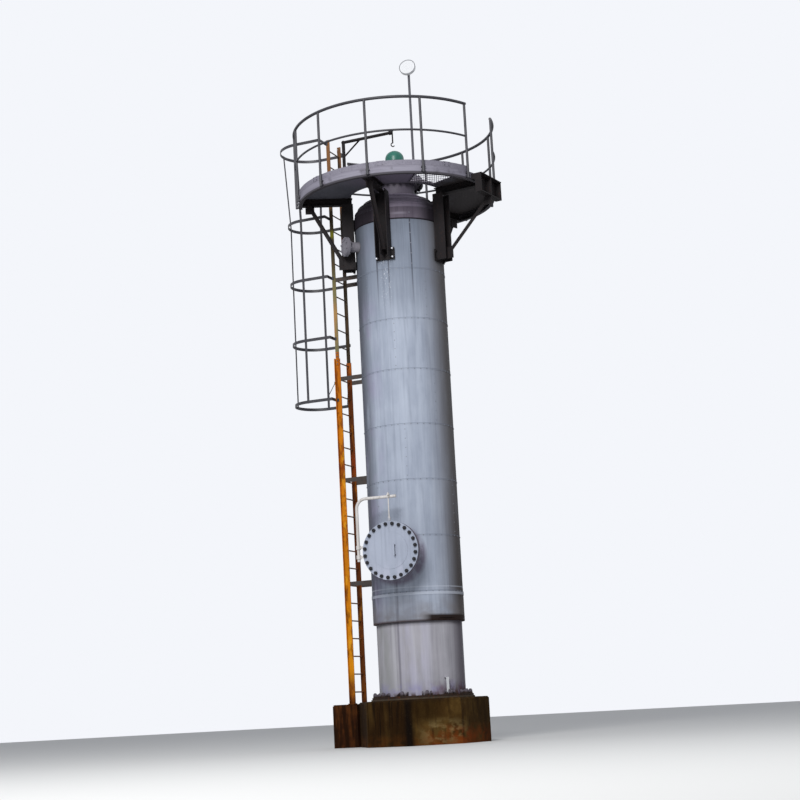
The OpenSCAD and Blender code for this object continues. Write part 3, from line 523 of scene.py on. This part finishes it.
# The walking side: worn grey, with the treads as bump
mark(plate, "#5d5d66", 0.7, rise(plate, "Z", 9.018, 9.0195), grain(plate, 300, 0.4, 0.6))
turned = add(plate["tree"], "ShaderNodeMapping", values={"Rotation": (0, 0, math.radians(45))},
             links={"Vector": plate["where"]})
treads = add(plate["tree"], "ShaderNodeTexChecker", values={"Scale": 1000 / TREAD_MM},
             links={"Vector": turned.outputs[0]})
raised = add(plate["tree"], "ShaderNodeBump", values={"Strength": 0.5, "Distance": 0.004},
             links={"Height": treads.outputs["Fac"]})
plate["tree"].links.new(raised.outputs[0], plate["shader"].inputs["Normal"])
dress(plate, "deck_plate")
zinc = coat("dull_zinc_coating", "#6f6b74", 0.5, 0.7)
mark(zinc, "#55505a", 0.6, grain(zinc, 60, 0.45, 0.6))
dress(zinc, "deck_grating")

# %% Toe plate and rails
toe = weathered("dusty_toe_plate_paint", "#84818d", "#787582", "#6f6b77", "#5a4840", rusting=0.0,
                roughness=0.75, streak_mm=90)
# Spots, level smears, a dark foot and painted shade on the right half
mark(toe, "#5f5b68", 0.5, grain(toe, 34, 0.52, 0.6, 1.0, 5.0, 0.6))
mark(toe, "#7d7a86", 0.6, grain(toe, 500, 0.45, 0.6, 0.05))
mark(toe, "#6a6672", 0.7, rise(toe, "Z", 9.03, 9.024))
mark(toe, "#55525d", 0.6, rise(toe, "X", 0.3, 1.3))
dress(toe, "toe_plate")
rail = weathered("grey_rail_paint", "#333238", "#29282d", "#1e1e22", "#4c382c", rusting=0.25, streaks=0.2,
                 roughness=0.5)
dress(rail, "guardrail_near", "guardrail_far", "cage_hoops", "cage_straps")

# %% [markdown]
# ## Ladder
# The ladder came in two lengths. The foot length is safety orange, chalked to
# yellow where hands and feet rub it, and rust brown with painted shade on the
# side away from the light. The top length is olive, with painted shade on the
# side away from the light and painted shade and soot under the platform, and
# above the platform it has gone rust brown.
# Boots keep the rungs bare, so they are worn steel with orange left on the foot
# length. The clips are dark, but one pair still has its yellow paint.

# %% Foot length
orange = weathered("safety_orange_paint", "#cc7b0d", "#b5660d", "#8a4507", "#4f2005", rusting=0.5,
                   streaks=0.5, roughness=0.7, streak_mm=40, rust_mm=60, specular=0.12)
# Yellow chalk low down, brown blotches and rubbed yellow patches
mark(orange, "#d98f0c", 0.7, rise(orange, "Z", 3.6, 1.6), grain(orange, 120, 0.42, 0.55, 6))
mark(orange, "#6b3206", 0.7, grain(orange, 75, 0.5, 0.6, 3, 5.0, 0.6))
mark(orange, "#e3a423", 0.6, rise(orange, "Z", 5.6, 4.4), grain(orange, 90, 0.56, 0.64, 3, 3.0))
# Painted shade on the side away from the light, then rust half way up and at the top
mark(orange, "#4b1f05", 0.95, rise(orange, "Y", 0.36, 0.52), grain(orange, 160, 0.28, 0.45, 5))
mark(orange, "#7a2f08", 0.85, line(orange, "Z", 4.6, 0.3), grain(orange, 70, 0.4, 0.5, 3))
mark(orange, "#a0521a", 0.8, rise(orange, "Z", 5.8, 6.2), grain(orange, 90, 0.35, 0.55, 3))
# The wet foot
mark(orange, "#6d3a0e", 0.85, rise(orange, "Z", 1.25, 0.95), grain(orange, 90, 0.3, 0.5, 3))
mark(orange, "#3d1a06", 0.8, rise(orange, "Z", 0.8, 0.7))
dress(orange, "ladder_lower")

# %% Top length
olive = weathered("olive_ladder_paint", "#77704a", "#686751", "#463f24", "#8a4a20", rusting=0.6,
                  streaks=0.4, roughness=0.7, streak_mm=30, rust_mm=80, specular=0.15)
# A tan stretch, and painted shade with soot under the platform
mark(olive, "#a97f4c", 0.8, line(olive, "Z", 7.0, 0.45), grain(olive, 160, 0.35, 0.55, 3))
mark(olive, "#352b20", 0.85, rise(olive, "Z", 7.5, 8.0), grain(olive, 200, 0.2, 0.45, 3))
# Painted shade on the side away from the light
mark(olive, "#2a2018", 0.92, rise(olive, "Y", 0.36, 0.52), grain(olive, 160, 0.22, 0.4, 5))
# One short stretch is yellow-green in front and red-brown behind
mark(olive, "#7d7a1e", 0.9, line(olive, "Z", 8.5, 0.09), rise(olive, "Y", 0.5, 0.4))
mark(olive, "#7d3f36", 0.8, line(olive, "Z", 8.5, 0.09), rise(olive, "Y", 0.4, 0.5))
# Rust brown above the platform
mark(olive, "#8a5f3c", 0.9, rise(olive, "Z", 8.9, 9.1), grain(olive, 200, 0.3, 0.5, 3))
dress(olive, "ladder_upper")

# %% Rungs and clips
rung = weathered("bare_worn_steel", "#4f3d2c", "#3d2f22", "#2b2118", "#6f4524", rusting=0.5,
                 roughness=0.55)
mark(rung, "#8a4c12", 0.85, rise(rung, "Z", 6.4, 6.3), grain(rung, 60, 0.4, 0.55))
dress(rung, "ladder_rungs")
clip = weathered("dark_clip_paint", "#3b332e", "#2d2624", "#1f1a19", "#5a3418", rusting=0.5,
                 roughness=0.65)
mark(clip, "#a8902c", 0.9, rise(clip, "Z", 6.85, 6.95), rise(clip, "Z", 7.25, 7.15))
dress(clip, "ladder_clips")

# %% [markdown]
# ## Lamp and earth strap
# The post has plain grey paint. The lamp is white enamel, smooth enough to
# shine a little. The strap that earths the skirt is tinned copper, a soft
# metal with a bright, slightly dull skin, so it is the one light spot down there.

# %% Post, lamp and strap
pole = weathered("grey_pole_paint", "#55555c", "#47474e", "#38383e", "#4c3b30", rusting=0.2)
dress(pole, "lamp_post")
lamp_white = coat("white_lamp_enamel", "#e9eaec", 0.35)
dress(lamp_white, "lamp_head")
tinned = coat("tinned_copper_strap", "#d0d0d2", 0.35, 1.0)
dress(tinned, "earth_strap")

# %% [markdown]
# ## Foot and concrete
# The base ring sits in puddles, so it is brown-black with rust. Cast concrete
# takes up the rust: the faces at the left are wet and nearly black, the right
# one is green-brown with a rusty patch low down, and the arris between them has
# a dark stripe with painted shade beside it. The side furthest right is darker
# with painted shade. The face a spot lies on is told by its normal. The grout is
# mortar with the same stains. The ladder's small plinth never dries, so it is
# darker and redder.

# %% Base steel and grout
base = weathered("rusting_base_steel", "#33271f", "#261b15", "#1a120e", "#4d2c16", rusting=0.6,
                 roughness=0.8, specular=0.2)
mark(base, "#7a7480", 0.75, rise(base, "Z", 0.765, 0.8), grain(base, 60, 0.35, 0.55))
dress(base, "base_ring", "anchor_bolts")
mortar = weathered("stained_mortar", "#4d4335", "#3a3024", "#2a2016", "#54341a", rusting=0.6,
                   roughness=0.95)
dress(mortar, "grout")

# %% Stained concrete
concrete = coat("cast_concrete", "#3d2a10", 0.95, specular=0.08)
# Brown clouds, dark streaks and a pale dry patch in front
mark(concrete, "#523d1c", 1.0, grain(concrete, 260, 0.42, 0.6, 1.2, 6.0))
mark(concrete, "#2a1a07", 0.8, grain(concrete, 80, 0.47, 0.62, 8, 5.0))
mark(concrete, "#8b7a52", 0.6, rise(concrete, "Z", 0.42, 0.22), line(concrete, "X", 0.3, 0.42),
     grain(concrete, 150, 0.46, 0.58, 0.7))
# The wet faces at the left
left_face = facing(concrete, (-1, 0, 0), 0.2, 0.4)
mark(concrete, "#241404", 0.95, left_face, grain(concrete, 300, 0.25, 0.5, 5))
mark(concrete, "#120802", 0.8, left_face, grain(concrete, 45, 0.52, 0.6, 20))
# Rust low down at the right, and a damp foot
mark(concrete, "#7a3610", 0.85, rise(concrete, "Z", 0.32, 0.1), rise(concrete, "X", -0.1, 0.3),
     grain(concrete, 220, 0.4, 0.55, 0.8))
mark(concrete, "#5a3310", 0.6, rise(concrete, "Z", 0.2, 0.02), grain(concrete, 180, 0.35, 0.6, 0.8))
# A dark stripe down the arris, and painted shade beside it
mark(concrete, "#0d0603", 0.97, line(concrete, "X", -0.235, 0.1), rise(concrete, "Y", -0.6, -0.8),
     grain(concrete, 80, 0.1, 0.35, 8))
mark(concrete, "#221403", 0.7, line(concrete, "X", 0.02, 0.3), rise(concrete, "Z", 0.3, 0.42),
     rise(concrete, "Y", -0.6, -0.8))
# Darker under the grout, painted shade on the right side, and pale grit
mark(concrete, "#1f150c", 0.8, rise(concrete, "Z", 0.62, 0.72), grain(concrete, 90, 0.35, 0.55, 1))
mark(concrete, "#1f1305", 0.75, rise(concrete, "X", 0.62, 0.85), grain(concrete, 200, 0.25, 0.5, 3))
mark(concrete, "#7d6c48", 0.3, grain(concrete, 14, 0.62, 0.7, 1, 6.0, 0.7))
relief(concrete, 22, 9, 0.5, 8.0)
dress(concrete, "pedestal")

# %% Soaked concrete of the ladder's plinth
plinth = coat("soaked_concrete", "#33190a", 0.95, specular=0.08)
mark(plinth, "#4d2a10", 1.0, grain(plinth, 160, 0.45, 0.62, 1.5, 6.0))
mark(plinth, "#1c0d04", 0.85, grain(plinth, 60, 0.48, 0.6, 12, 5.0))
relief(plinth, 22, 9, 0.5, 8.0)
dress(plinth, "ladder_plinth")
print("nodes without a finish:", sorted(set(nodes) - dressed))

# %% [markdown]
# ## Small pieces
# What is left is too fine for the CAD. It could be painted on, but a real mesh
# catches the light at its edges. Each kind of small piece is one mesh that
# rides on the column's only body. Places are given as on a real column: a
# bearing in degrees from the front, a radius from the axis and a height.

# %% Places
def spot(bearing, radius, height):
    """A point from its bearing, its radius from the axis and its height."""
    a = math.radians(bearing)
    return Vector((radius * math.sin(a), -radius * math.cos(a), height))


def outward(bearing):
    """Turns +Z to point straight out at a bearing, with X level."""
    return Matrix.Rotation(math.radians(bearing), 4, "Z") @ Matrix.Rotation(math.radians(90), 4, "X")


def placed(point, turn):
    """Turns a shape and carries it to a point."""
    return Matrix.Translation(point) @ turn


print("1 m out to the right, 2 m up:", [round(v, 3) for v in spot(90, 1, 2)])

# %% Shapes that many pieces share
def spin(bm, geom, angle, steps):
    """Spins edges or faces round Z and closes what goes right round."""
    bmesh.ops.spin(bm, geom=geom, cent=(0, 0, 0), axis=(0, 0, 1), angle=angle, steps=steps,
                   use_merge=angle == math.tau, use_duplicate=False)


def add_peg(bm, place, radius, length, sides=6):
    """A straight peg with flat sides, such as a bolt's head or a nut."""
    bmesh.ops.create_cone(bm, cap_ends=True, segments=sides, radius1=radius, radius2=radius, depth=length,
                          matrix=place)


def add_block(bm, place, size):
    """A block of three lengths, centred on its place."""
    bmesh.ops.create_cube(bm, size=1.0, matrix=place @ Matrix.Diagonal((*size, 1)))


def break_edges(bm, width):
    """Takes the sharp edge off every block, as a file does."""
    bmesh.ops.bevel(bm, geom=bm.edges, affect="EDGES", offset=width, segments=1, profile=0.5, material=-1)


def add_ring(bm, radius, thick, sides, steps):
    """A round bead, made flat on the origin: a small circle spun round Z. Returns its points."""
    start = placed((radius, 0, 0), Matrix.Rotation(math.radians(90), 4, "X"))
    circle = bmesh.ops.create_circle(bm, segments=sides, radius=thick, matrix=start)
    edges = list(dict.fromkeys(e for v in circle["verts"] for e in v.link_edges))
    spin(bm, edges, math.tau, steps)
    points = [v for v in bm.verts if not v.tag]
    for v in points:
        v.tag = True
    return points


trial = bmesh.new()
print("a ring of 6 sides and 12 steps has", len(add_ring(trial, 0.1, 0.01, 6, 12)), "points")
trial.free()

# %% Closing a piece
def in_scene(name, data):
    """A new object in the scene's collection."""
    o = bpy.data.objects.new(name, data)
    bpy.context.scene.collection.objects.link(o)
    return o


def finished(name, bm, c, slot):
    """Closes a bmesh as a piece that rides on the column."""
    bmesh.ops.remove_doubles(bm, verts=bm.verts, dist=0.00002)
    bmesh.ops.recalc_face_normals(bm, faces=bm.faces)
    mesh = bpy.data.meshes.new(name)
    bm.to_mesh(mesh)
    bm.free()
    mesh.materials.append(c["mat"])
    o = in_scene(name, mesh)
    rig.ride(o, "root")
    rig.slot(o, slot)
    print(name, len(mesh.polygons), "faces")


# %% [markdown]
# ## Upright laps of the jacket
# The jacket is rolled from sheets up to 1.6 m long, and each sheet overlaps the
# next by a few centimetres. A lap could be a bent box, but here a small
# rectangle is spun a few degrees round the axis, so it has the jacket's own
# curve. The laps of one length never meet those of the next, because a four-way
# corner would leak.

# %% Upright laps
JACKET_R = 0.7335
LAP_W = 0.045
lap_in, lap_out = JACKET_R - 0.004, JACKET_R + 0.0006
gap_below, gap_above = 0.016, 0.004
lap_turn = math.degrees(LAP_W / JACKET_R)
lap_bearings = [(-62, 44, 120, 205), (-48, 62, 128, 215), (-5, 80, 118, 230), (-58, 38, 128, 205),
                (-12, 75, 130, 222), (-50, 32, 118, 208), (15, 98, 128, 214)]

bm = bmesh.new()
for number, bearings in enumerate(lap_bearings):
    low, high = seams[number] + gap_below, seams[number + 1] - gap_above
    section = ((lap_in, low), (lap_out, low), (lap_out, high), (lap_in, high))
    for bearing in bearings:
        corners = [bm.verts.new(spot(bearing - lap_turn / 2, r, z)) for r, z in section]
        spin(bm, [bm.faces.new(corners)], math.radians(lap_turn), steps=3)
finished("jacket_laps", bm, jacket, "jacket_sheet")

# %% [markdown]
# ## Top band of the jacket
# The last 200 mm of the jacket are covered by a separate band, clamped on after
# the dome was put on. It has caught the same soot as the dome, and like the dome
# it has painted shade at both sides and a painted highlight in the middle. Its
# foot is turned out to a narrow lip. It could be one more mark on the jacket, but
# a real band has an edge that throws a shadow. Six points make its section, and
# one full spin makes the band.

# %% Soot and painted light on the band
band_sheet = weathered("sooty_band_sheet_with_painted_shade", "#6d6571", "#5b535f", "#3d3740", "#4a3a30", rusting=0.08,
                       roughness=0.75, specular=0.1)
# A painted highlight in the middle, a black line at the foot and the platform's painted shade at both sides
mark(band_sheet, "#8c8592", 0.7, line(band_sheet, "X", 0.02, 0.16), line(band_sheet, "Z", 8.52, 0.03),
     rise(band_sheet, "Y", 0, -0.2))
mark(band_sheet, "#151114", 0.9, rise(band_sheet, "Z", 8.452, 8.434))
mark(band_sheet, "#1b171c", 0.85, rise(band_sheet, "X", 0.3, 0.52))
mark(band_sheet, "#1b171c", 0.9, rise(band_sheet, "X", -0.24, -0.44))
print("band sheet", len(band_sheet["tree"].nodes), "shader nodes")

# %% Top band
BAND_FOOT, BAND_TOP = 8.420, 8.629
LIP_H, LIP_SLOPE_H = 0.020, 0.024
band_in, band_out, lip_out = JACKET_R + 0.0002, JACKET_R + 0.0012, JACKET_R + 0.0018

bm = bmesh.new()
section = ((band_in, BAND_FOOT), (lip_out, BAND_FOOT), (lip_out, BAND_FOOT + LIP_H),
           (band_out, BAND_FOOT + LIP_SLOPE_H), (band_out, BAND_TOP), (band_in, BAND_TOP))
corners = [bm.verts.new(spot(0, r, z)) for r, z in section]
edges = [bm.edges.new(pair) for pair in zip(corners, corners[1:] + corners[:1])]
spin(bm, edges, math.tau, steps=128)
finished("jacket_top_band", bm, band_sheet, "jacket_sheet")

# %% [markdown]
# ## Screws of the jacket
# Self-tapping screws with wide washers hold both the upright laps and the level
# seams. Their zinc plate has gone dull, a half-metal grey that still glints a
# little. There are hundreds of them, so each is only two short pegs with flat
# sides, and a loop sets them out.

# %% Screws with washers
SCREWS_ROUND, SCREWS_UP = 44, 6
FIRST_SCREW_BEARING, SCREW_OVER_SEAM = 3, 0.007
WASHER_R, WASHER_T = 0.009, 0.0025
HEAD_R, HEAD_T = 0.0055, 0.004
SUNK = 0.0005
screw = coat("zinc_plated_screw", "#80848d", 0.5, 0.3)


def add_screw(bm, bearing, height):
    """A wide washer with a small hexagon head, pressed a little into the sheet."""
    for radius, thick, sides, out_by in ((WASHER_R, WASHER_T, 8, 0.0), (HEAD_R, HEAD_T, 6, WASHER_T)):
        middle = spot(bearing, JACKET_R - SUNK + out_by + thick / 2, height)
        add_peg(bm, placed(middle, outward(bearing)), radius, thick, sides)


bm = bmesh.new()
for seam in seams[:-1]:
    for i in range(SCREWS_ROUND):
        add_screw(bm, i * 360 / SCREWS_ROUND + FIRST_SCREW_BEARING, seam + SCREW_OVER_SEAM)
for number, bearings in enumerate(lap_bearings):
    low, high = seams[number], seams[number + 1]
    for bearing in bearings:
        for i in range(SCREWS_UP):
            add_screw(bm, bearing, low + (i + 0.5) * (high - low) / SCREWS_UP)
finished("jacket_screws", bm, screw, "stud_steel")

# %% [markdown]
# ## Sealant round the branches
# Where a branch comes through the jacket the gap is closed with a bead of
# mastic, or rain would soak the wool. A bead could be laid along a curve, but
# here a ring is made flat, and then each of its points is pushed out to the
# jacket's own curve, which fits it all the way round. Mastic is matt and grey.

# %% Branches that come through the jacket
# Each has its bearing, the height of its axis and its outer radius.
branches = {"side_neck": (MANHOLE_BEARING, 2.98, 0.26), "upper_nozzle": (-68, 8.10, 0.084),
            "feed_nozzle": (160, 5.45, 0.057), "vapour_nozzle": (176, 8.06, 0.162),
            "return_nozzle": (172, 3.10, 0.136)}
for name in branches:
    print(name, [[round(v, 3) for v in corner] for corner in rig.box(name)])

# %% Mastic beads
BEAD_R, BEAD_OUT = 0.008, 0.005
mastic = coat("grey_mastic", "#5d5b60", 0.7)
bm = bmesh.new()
for bearing, height, radius in branches.values():
    points = add_ring(bm, radius + BEAD_OUT, BEAD_R, sides=8, steps=64)
    for v in points:
        v.co.z += math.sqrt(JACKET_R ** 2 - v.co.x ** 2)
    bmesh.ops.transform(bm, matrix=placed((0, 0, height), outward(bearing)), verts=points)
finished("branch_mastic", bm, mastic, "neck_paint")

# %% [markdown]
# ## Weld beads
# Plate work of this age is stick welded, so each joint has a low bead under its
# paint. The skirt is welded to its base ring and has one level and one upright
# seam, and each pipe is welded to the hub of its flange. A bead could be left to
# bump, but as a real ring it throws the thin shadow that tells a joint.

# %% Weld beads of the skirt and the pipes
SKIRT_R = 0.6655
FOOT_WELD_Z, LEVEL_SEAM_Z, UPRIGHT_SEAM_Z = 0.760, 1.320, 1.335
UPRIGHT_SEAM_H, UPRIGHT_SEAM_BEARING = 1.12, 58
FOOT_WELD_R, SKIRT_WELD_R, PIPE_WELD_R = 0.006, 0.003, 0.004
hub_welds = {"feed_nozzle": 0.8955, "vapour_nozzle": 0.9375, "return_nozzle": 0.9295, "upper_nozzle": 0.8765}
weld = weathered("painted_weld_bead", "#8b8893", "#77747f", "#55525c", "#5c3a22", rusting=0.4,
                 roughness=0.6)


def add_bead(bm, place, radius, thick, steps):
    """A round bead of six sides at its place."""
    points = add_ring(bm, radius, thick, sides=6, steps=steps)
    bmesh.ops.transform(bm, matrix=place, verts=points)


bm = bmesh.new()
add_bead(bm, Matrix.Translation((0, 0, FOOT_WELD_Z)), SKIRT_R + 0.001, FOOT_WELD_R, steps=96)
add_bead(bm, Matrix.Translation((0, 0, LEVEL_SEAM_Z)), SKIRT_R, SKIRT_WELD_R, steps=96)
for name, hub_end in hub_welds.items():
    bearing, height, radius = branches[name]
    joint = placed(spot(bearing, hub_end, height), outward(bearing))
    add_bead(bm, joint, radius + 0.001, PIPE_WELD_R, steps=40)
upright = Matrix.Translation(spot(UPRIGHT_SEAM_BEARING, SKIRT_R, UPRIGHT_SEAM_Z))
add_peg(bm, upright, 0.004, UPRIGHT_SEAM_H)
finished("weld_beads", bm, weld, "skirt_paint")

# %% [markdown]
# ## Fixings of the platform
# The toe plate comes in lengths of about 1.2 m, joined by small plates with
# four bolts. Each guardrail post is held by four bolts at the edge channel. The
# bolts are dull zinc, half way between paint and metal.

# %% Joints of the toe plate
DECK_Z, DECK_R, RAIL_R = 9.020, 1.6495, 1.6815
JOINT_UP, JOINT_OUT, JOINT_SIZE = 0.055, 0.002, (0.130, 0.075, 0.006)
JOINT_BOLT_ACROSS, POST_BOLT_ACROSS, BOLT_T = 0.016, 0.014, 0.008
joint_bearings = (-52, -8, 30, 106, 150, 192)
dull_bolt = coat("dull_zinc_bolt", "#56545c", 0.5, 0.5)


def add_bolt(bm, bearing, radius, height, across):
    """A hexagon head that sticks straight out from a radius."""
    middle = spot(bearing, radius + BOLT_T / 2, height)
    add_peg(bm, placed(middle, outward(bearing)), across / 2, BOLT_T)


bm = bmesh.new()
bolts = bmesh.new()
for bearing in joint_bearings:
    middle = spot(bearing, DECK_R + JOINT_OUT, DECK_Z + JOINT_UP)
    add_block(bm, placed(middle, outward(bearing)), JOINT_SIZE)
    face = DECK_R + JOINT_OUT + JOINT_SIZE[2] / 2
    for aside in (-1.4, 1.4):
        for up in (-0.02, 0.02):
            add_bolt(bolts, bearing + aside, face, DECK_Z + JOINT_UP + up, JOINT_BOLT_ACROSS)
break_edges(bm, 0.0012)
finished("toe_plate_joints", bm, toe, "toe_paint")

# %% Bolts of the guardrail posts
# The near run of the guardrail starts at the left, and its end posts stand a
# little in from its ends. The other posts divide it as on the CAD model.
RUN_START, RUN_SWEEP, END_POST_IN = -90, 135.7, 0.8
POST_FOOT_OUT = 0.0325
post_shares = (0, 0.1, 0.325, 0.555, 0.785, 1)
posts = [RUN_START + END_POST_IN + share * (RUN_SWEEP - 2 * END_POST_IN) for share in post_shares]
for bearing in posts:
    for up in (-0.105, -0.035):
        for aside in (-0.7, 0.7):
            add_bolt(bolts, bearing + aside, DECK_R + POST_FOOT_OUT, DECK_Z + up, POST_BOLT_ACROSS)
finished("platform_bolts", bolts, dull_bolt, "stud_steel")

# %% [markdown]
# ## Splice of the ladder
# The two lengths of the ladder butt against each other. A fish plate on the
# outer face of each side rail, with four bolts in a row, carries the load
# across the joint. A block with its edges broken is all that such a plate is.

# %% Fish plates and their bolts
LADDER_BEARING, LADDER_R, SPLICE_Z = -113, 1.1305, 6.350
SIDE_RAIL_OUT, RAIL_MIDDLE = 0.222, 0.001
FISH_T, FISH_W, FISH_H = 0.008, 0.056, 0.230
FISH_BOLT_R, FISH_BOLT_T = 0.0115, 0.009
ladder_turn = Matrix.Rotation(math.radians(LADDER_BEARING), 4, "Z")
splice = ladder_turn @ Matrix.Translation((0, -LADDER_R, SPLICE_Z))

bm = bmesh.new()
bolts = bmesh.new()
for side in (-1, 1):
    fish_at = (side * (SIDE_RAIL_OUT + FISH_T / 2), RAIL_MIDDLE, 0)
    add_block(bm, splice @ Matrix.Translation(fish_at), (FISH_T, FISH_W, FISH_H))
    for up in (-0.090, -0.035, 0.035, 0.090):
        bolt_at = (side * (SIDE_RAIL_OUT + FISH_T + FISH_BOLT_T / 2), RAIL_MIDDLE, up)
        sideways = Matrix.Rotation(math.radians(90), 4, "Y")
        add_peg(bolts, splice @ Matrix.Translation(bolt_at) @ sideways, FISH_BOLT_R, FISH_BOLT_T)
break_edges(bm, 0.0015)
finished("ladder_splice_plates", bm, orange, "ladder_orange")
finished("ladder_splice_bolts", bolts, dull_bolt, "stud_steel")

# %% [markdown]
# ## Newer fixings
# The front bracket's foot has four newer nuts. They are hot-dip galvanised, so
# they are pale and catch the light. The lamp's glass is held by a rubber ring,
# matt and grey. Both could be part of the pieces they sit on, but those come
# from the CAD, whose meshes are left alone.

# %% New nuts on the front bracket's foot
BRACKET_BEARING, BRACKET_FOOT_Z, NUT_MIDDLE_OUT = -18, 7.84, 0.7955
NUT_R, NUT_T, NUT_ASIDE, NUT_UP = 0.015, 0.024, 0.136, 0.070
new_zinc = coat("new_galvanised_nut", "#c6c7cc", 0.35, 0.6)
bm = bmesh.new()
for aside in (-NUT_ASIDE, NUT_ASIDE):
    for up in (-NUT_UP, NUT_UP):
        middle = spot(BRACKET_BEARING, NUT_MIDDLE_OUT, BRACKET_FOOT_Z + up)
        place = placed(middle, outward(BRACKET_BEARING)) @ Matrix.Translation((aside, 0, 0))
        add_peg(bm, place, NUT_R, NUT_T)
finished("bracket_foot_nuts", bm, new_zinc, "stud_steel")

# %% Rubber ring of the lamp
LAMP_BEARING, LAMP_H, LAMP_TURN, LAMP_TILT = 168, 2.9, -14, 78
RAIL_TUBE_R, POST_OFF_RAIL = 0.021, 0.036
RING_OUT, RING_R, RING_T = 0.095, 0.1440, 0.0060
rubber = coat("grey_rubber_ring", "#4a4b52", 0.7)
lamp_centre = spot(LAMP_BEARING, RAIL_R - RAIL_TUBE_R - POST_OFF_RAIL, DECK_Z + LAMP_H)
lamp_turn = (Matrix.Rotation(math.radians(LAMP_TURN), 4, "Z")
             @ Matrix.Rotation(math.radians(LAMP_TILT), 4, "X"))
glass_edge = lamp_centre + lamp_turn @ Vector((0, 0, RING_OUT))
bm = bmesh.new()
add_bead(bm, placed(glass_edge, lamp_turn), RING_R, RING_T, steps=48)
finished("lamp_ring", bm, rubber, "lamp_pole")

# %% [markdown]
# ## Floor, light and camera
# The photograph was taken from low down, about 26 m away, under a white sky.
# The sky does about half of the work, and one broad lamp in front gives the
# round shell its gentle turn from light to dark at both sides. The sky is white
# only to the camera and in reflections, so it adds no more light than its share.

# %% Floor
FLOOR_R = 60
bm = bmesh.new()
bmesh.ops.create_circle(bm, cap_ends=True, segments=96, radius=FLOOR_R)
floor_mesh = bpy.data.meshes.new("floor")
bm.to_mesh(floor_mesh)
bm.free()
floor_mesh.materials.append(coat("pale_floor", "#dcdcda", 0.9)["mat"])
floor = in_scene("floor", floor_mesh)
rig.stage(floor)
print("floor", FLOOR_R, "m in radius")

# %% World
world = bpy.data.worlds.new("overcast")
bpy.context.scene.world = world
world.use_nodes = True
tree = world.node_tree
tree.nodes.clear()
seen_by = add(tree, "ShaderNodeLightPath").outputs
seen = seen_by["Is Camera Ray"]
for ray in ("Is Glossy Ray", "Is Transmission Ray"):
    seen = add(tree, "ShaderNodeMath", links={0: seen, 1: seen_by[ray]}, operation="MAXIMUM").outputs[0]
light = add(tree, "ShaderNodeBackground", values={"Color": linear("#eef2fb"), "Strength": 0.4})
white = add(tree, "ShaderNodeBackground", values={"Color": linear("#f4f6fb"), "Strength": 1.0})
sky = add(tree, "ShaderNodeMixShader", links={0: seen, 1: light.outputs[0], 2: white.outputs[0]})
add(tree, "ShaderNodeOutputWorld", links={"Surface": sky.outputs[0]})
print("sky made of", len(tree.nodes), "shader nodes")

# %% Lamp in front
KEY_SIDE, KEY_WATTS = 7, 3900
key_place, key_aim = Vector((-4.5, -20.3, 15)), Vector((0, 0, 5))
key_light = bpy.data.lights.new("key", "AREA")
key_light.size = KEY_SIDE
key_light.energy = KEY_WATTS
key = in_scene("key", key_light)
key.location = key_place
key.rotation_euler = (key_aim - key_place).to_track_quat("-Z", "Y").to_euler()
print("lamp", round((key_aim - key_place).length, 1), "m away")

# %% Camera
# The focal length was read from the photograph's vanishing points, in pixels of
# a frame 800 pixels wide. The eye was about half a metre above the ground.
FOCAL_PX, FRAME_PX, SENSOR_MM = 1640, 800, 36
EYE_AWAY, EYE_Z, ROLL = 26.48, 0.535, -3.0
eye, aim = Vector((0, -EYE_AWAY, EYE_Z)), Vector((-0.12, 0, 5.55))
lens = bpy.data.cameras.new("camera")
lens.lens = SENSOR_MM * FOCAL_PX / FRAME_PX
lens.sensor_width = SENSOR_MM
camera = in_scene("camera", lens)
look = (aim - eye).to_track_quat("-Z", "Y").to_matrix().to_4x4()
camera.matrix_world = placed(eye, look) @ Matrix.Rotation(math.radians(ROLL), 4, "Z")
bpy.context.scene.camera = camera
bpy.context.scene.view_settings.view_transform = "Standard"
print("camera", round((aim - eye).length, 2), "m from its aim, lens", round(lens.lens, 1), "mm")

# %% Sizes and finish
json.dump({"cad": [list(v) for v in cad_box], "all": [list(v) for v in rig.bounds()]}, open("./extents.json", "w"))
print(open("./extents.json").read())
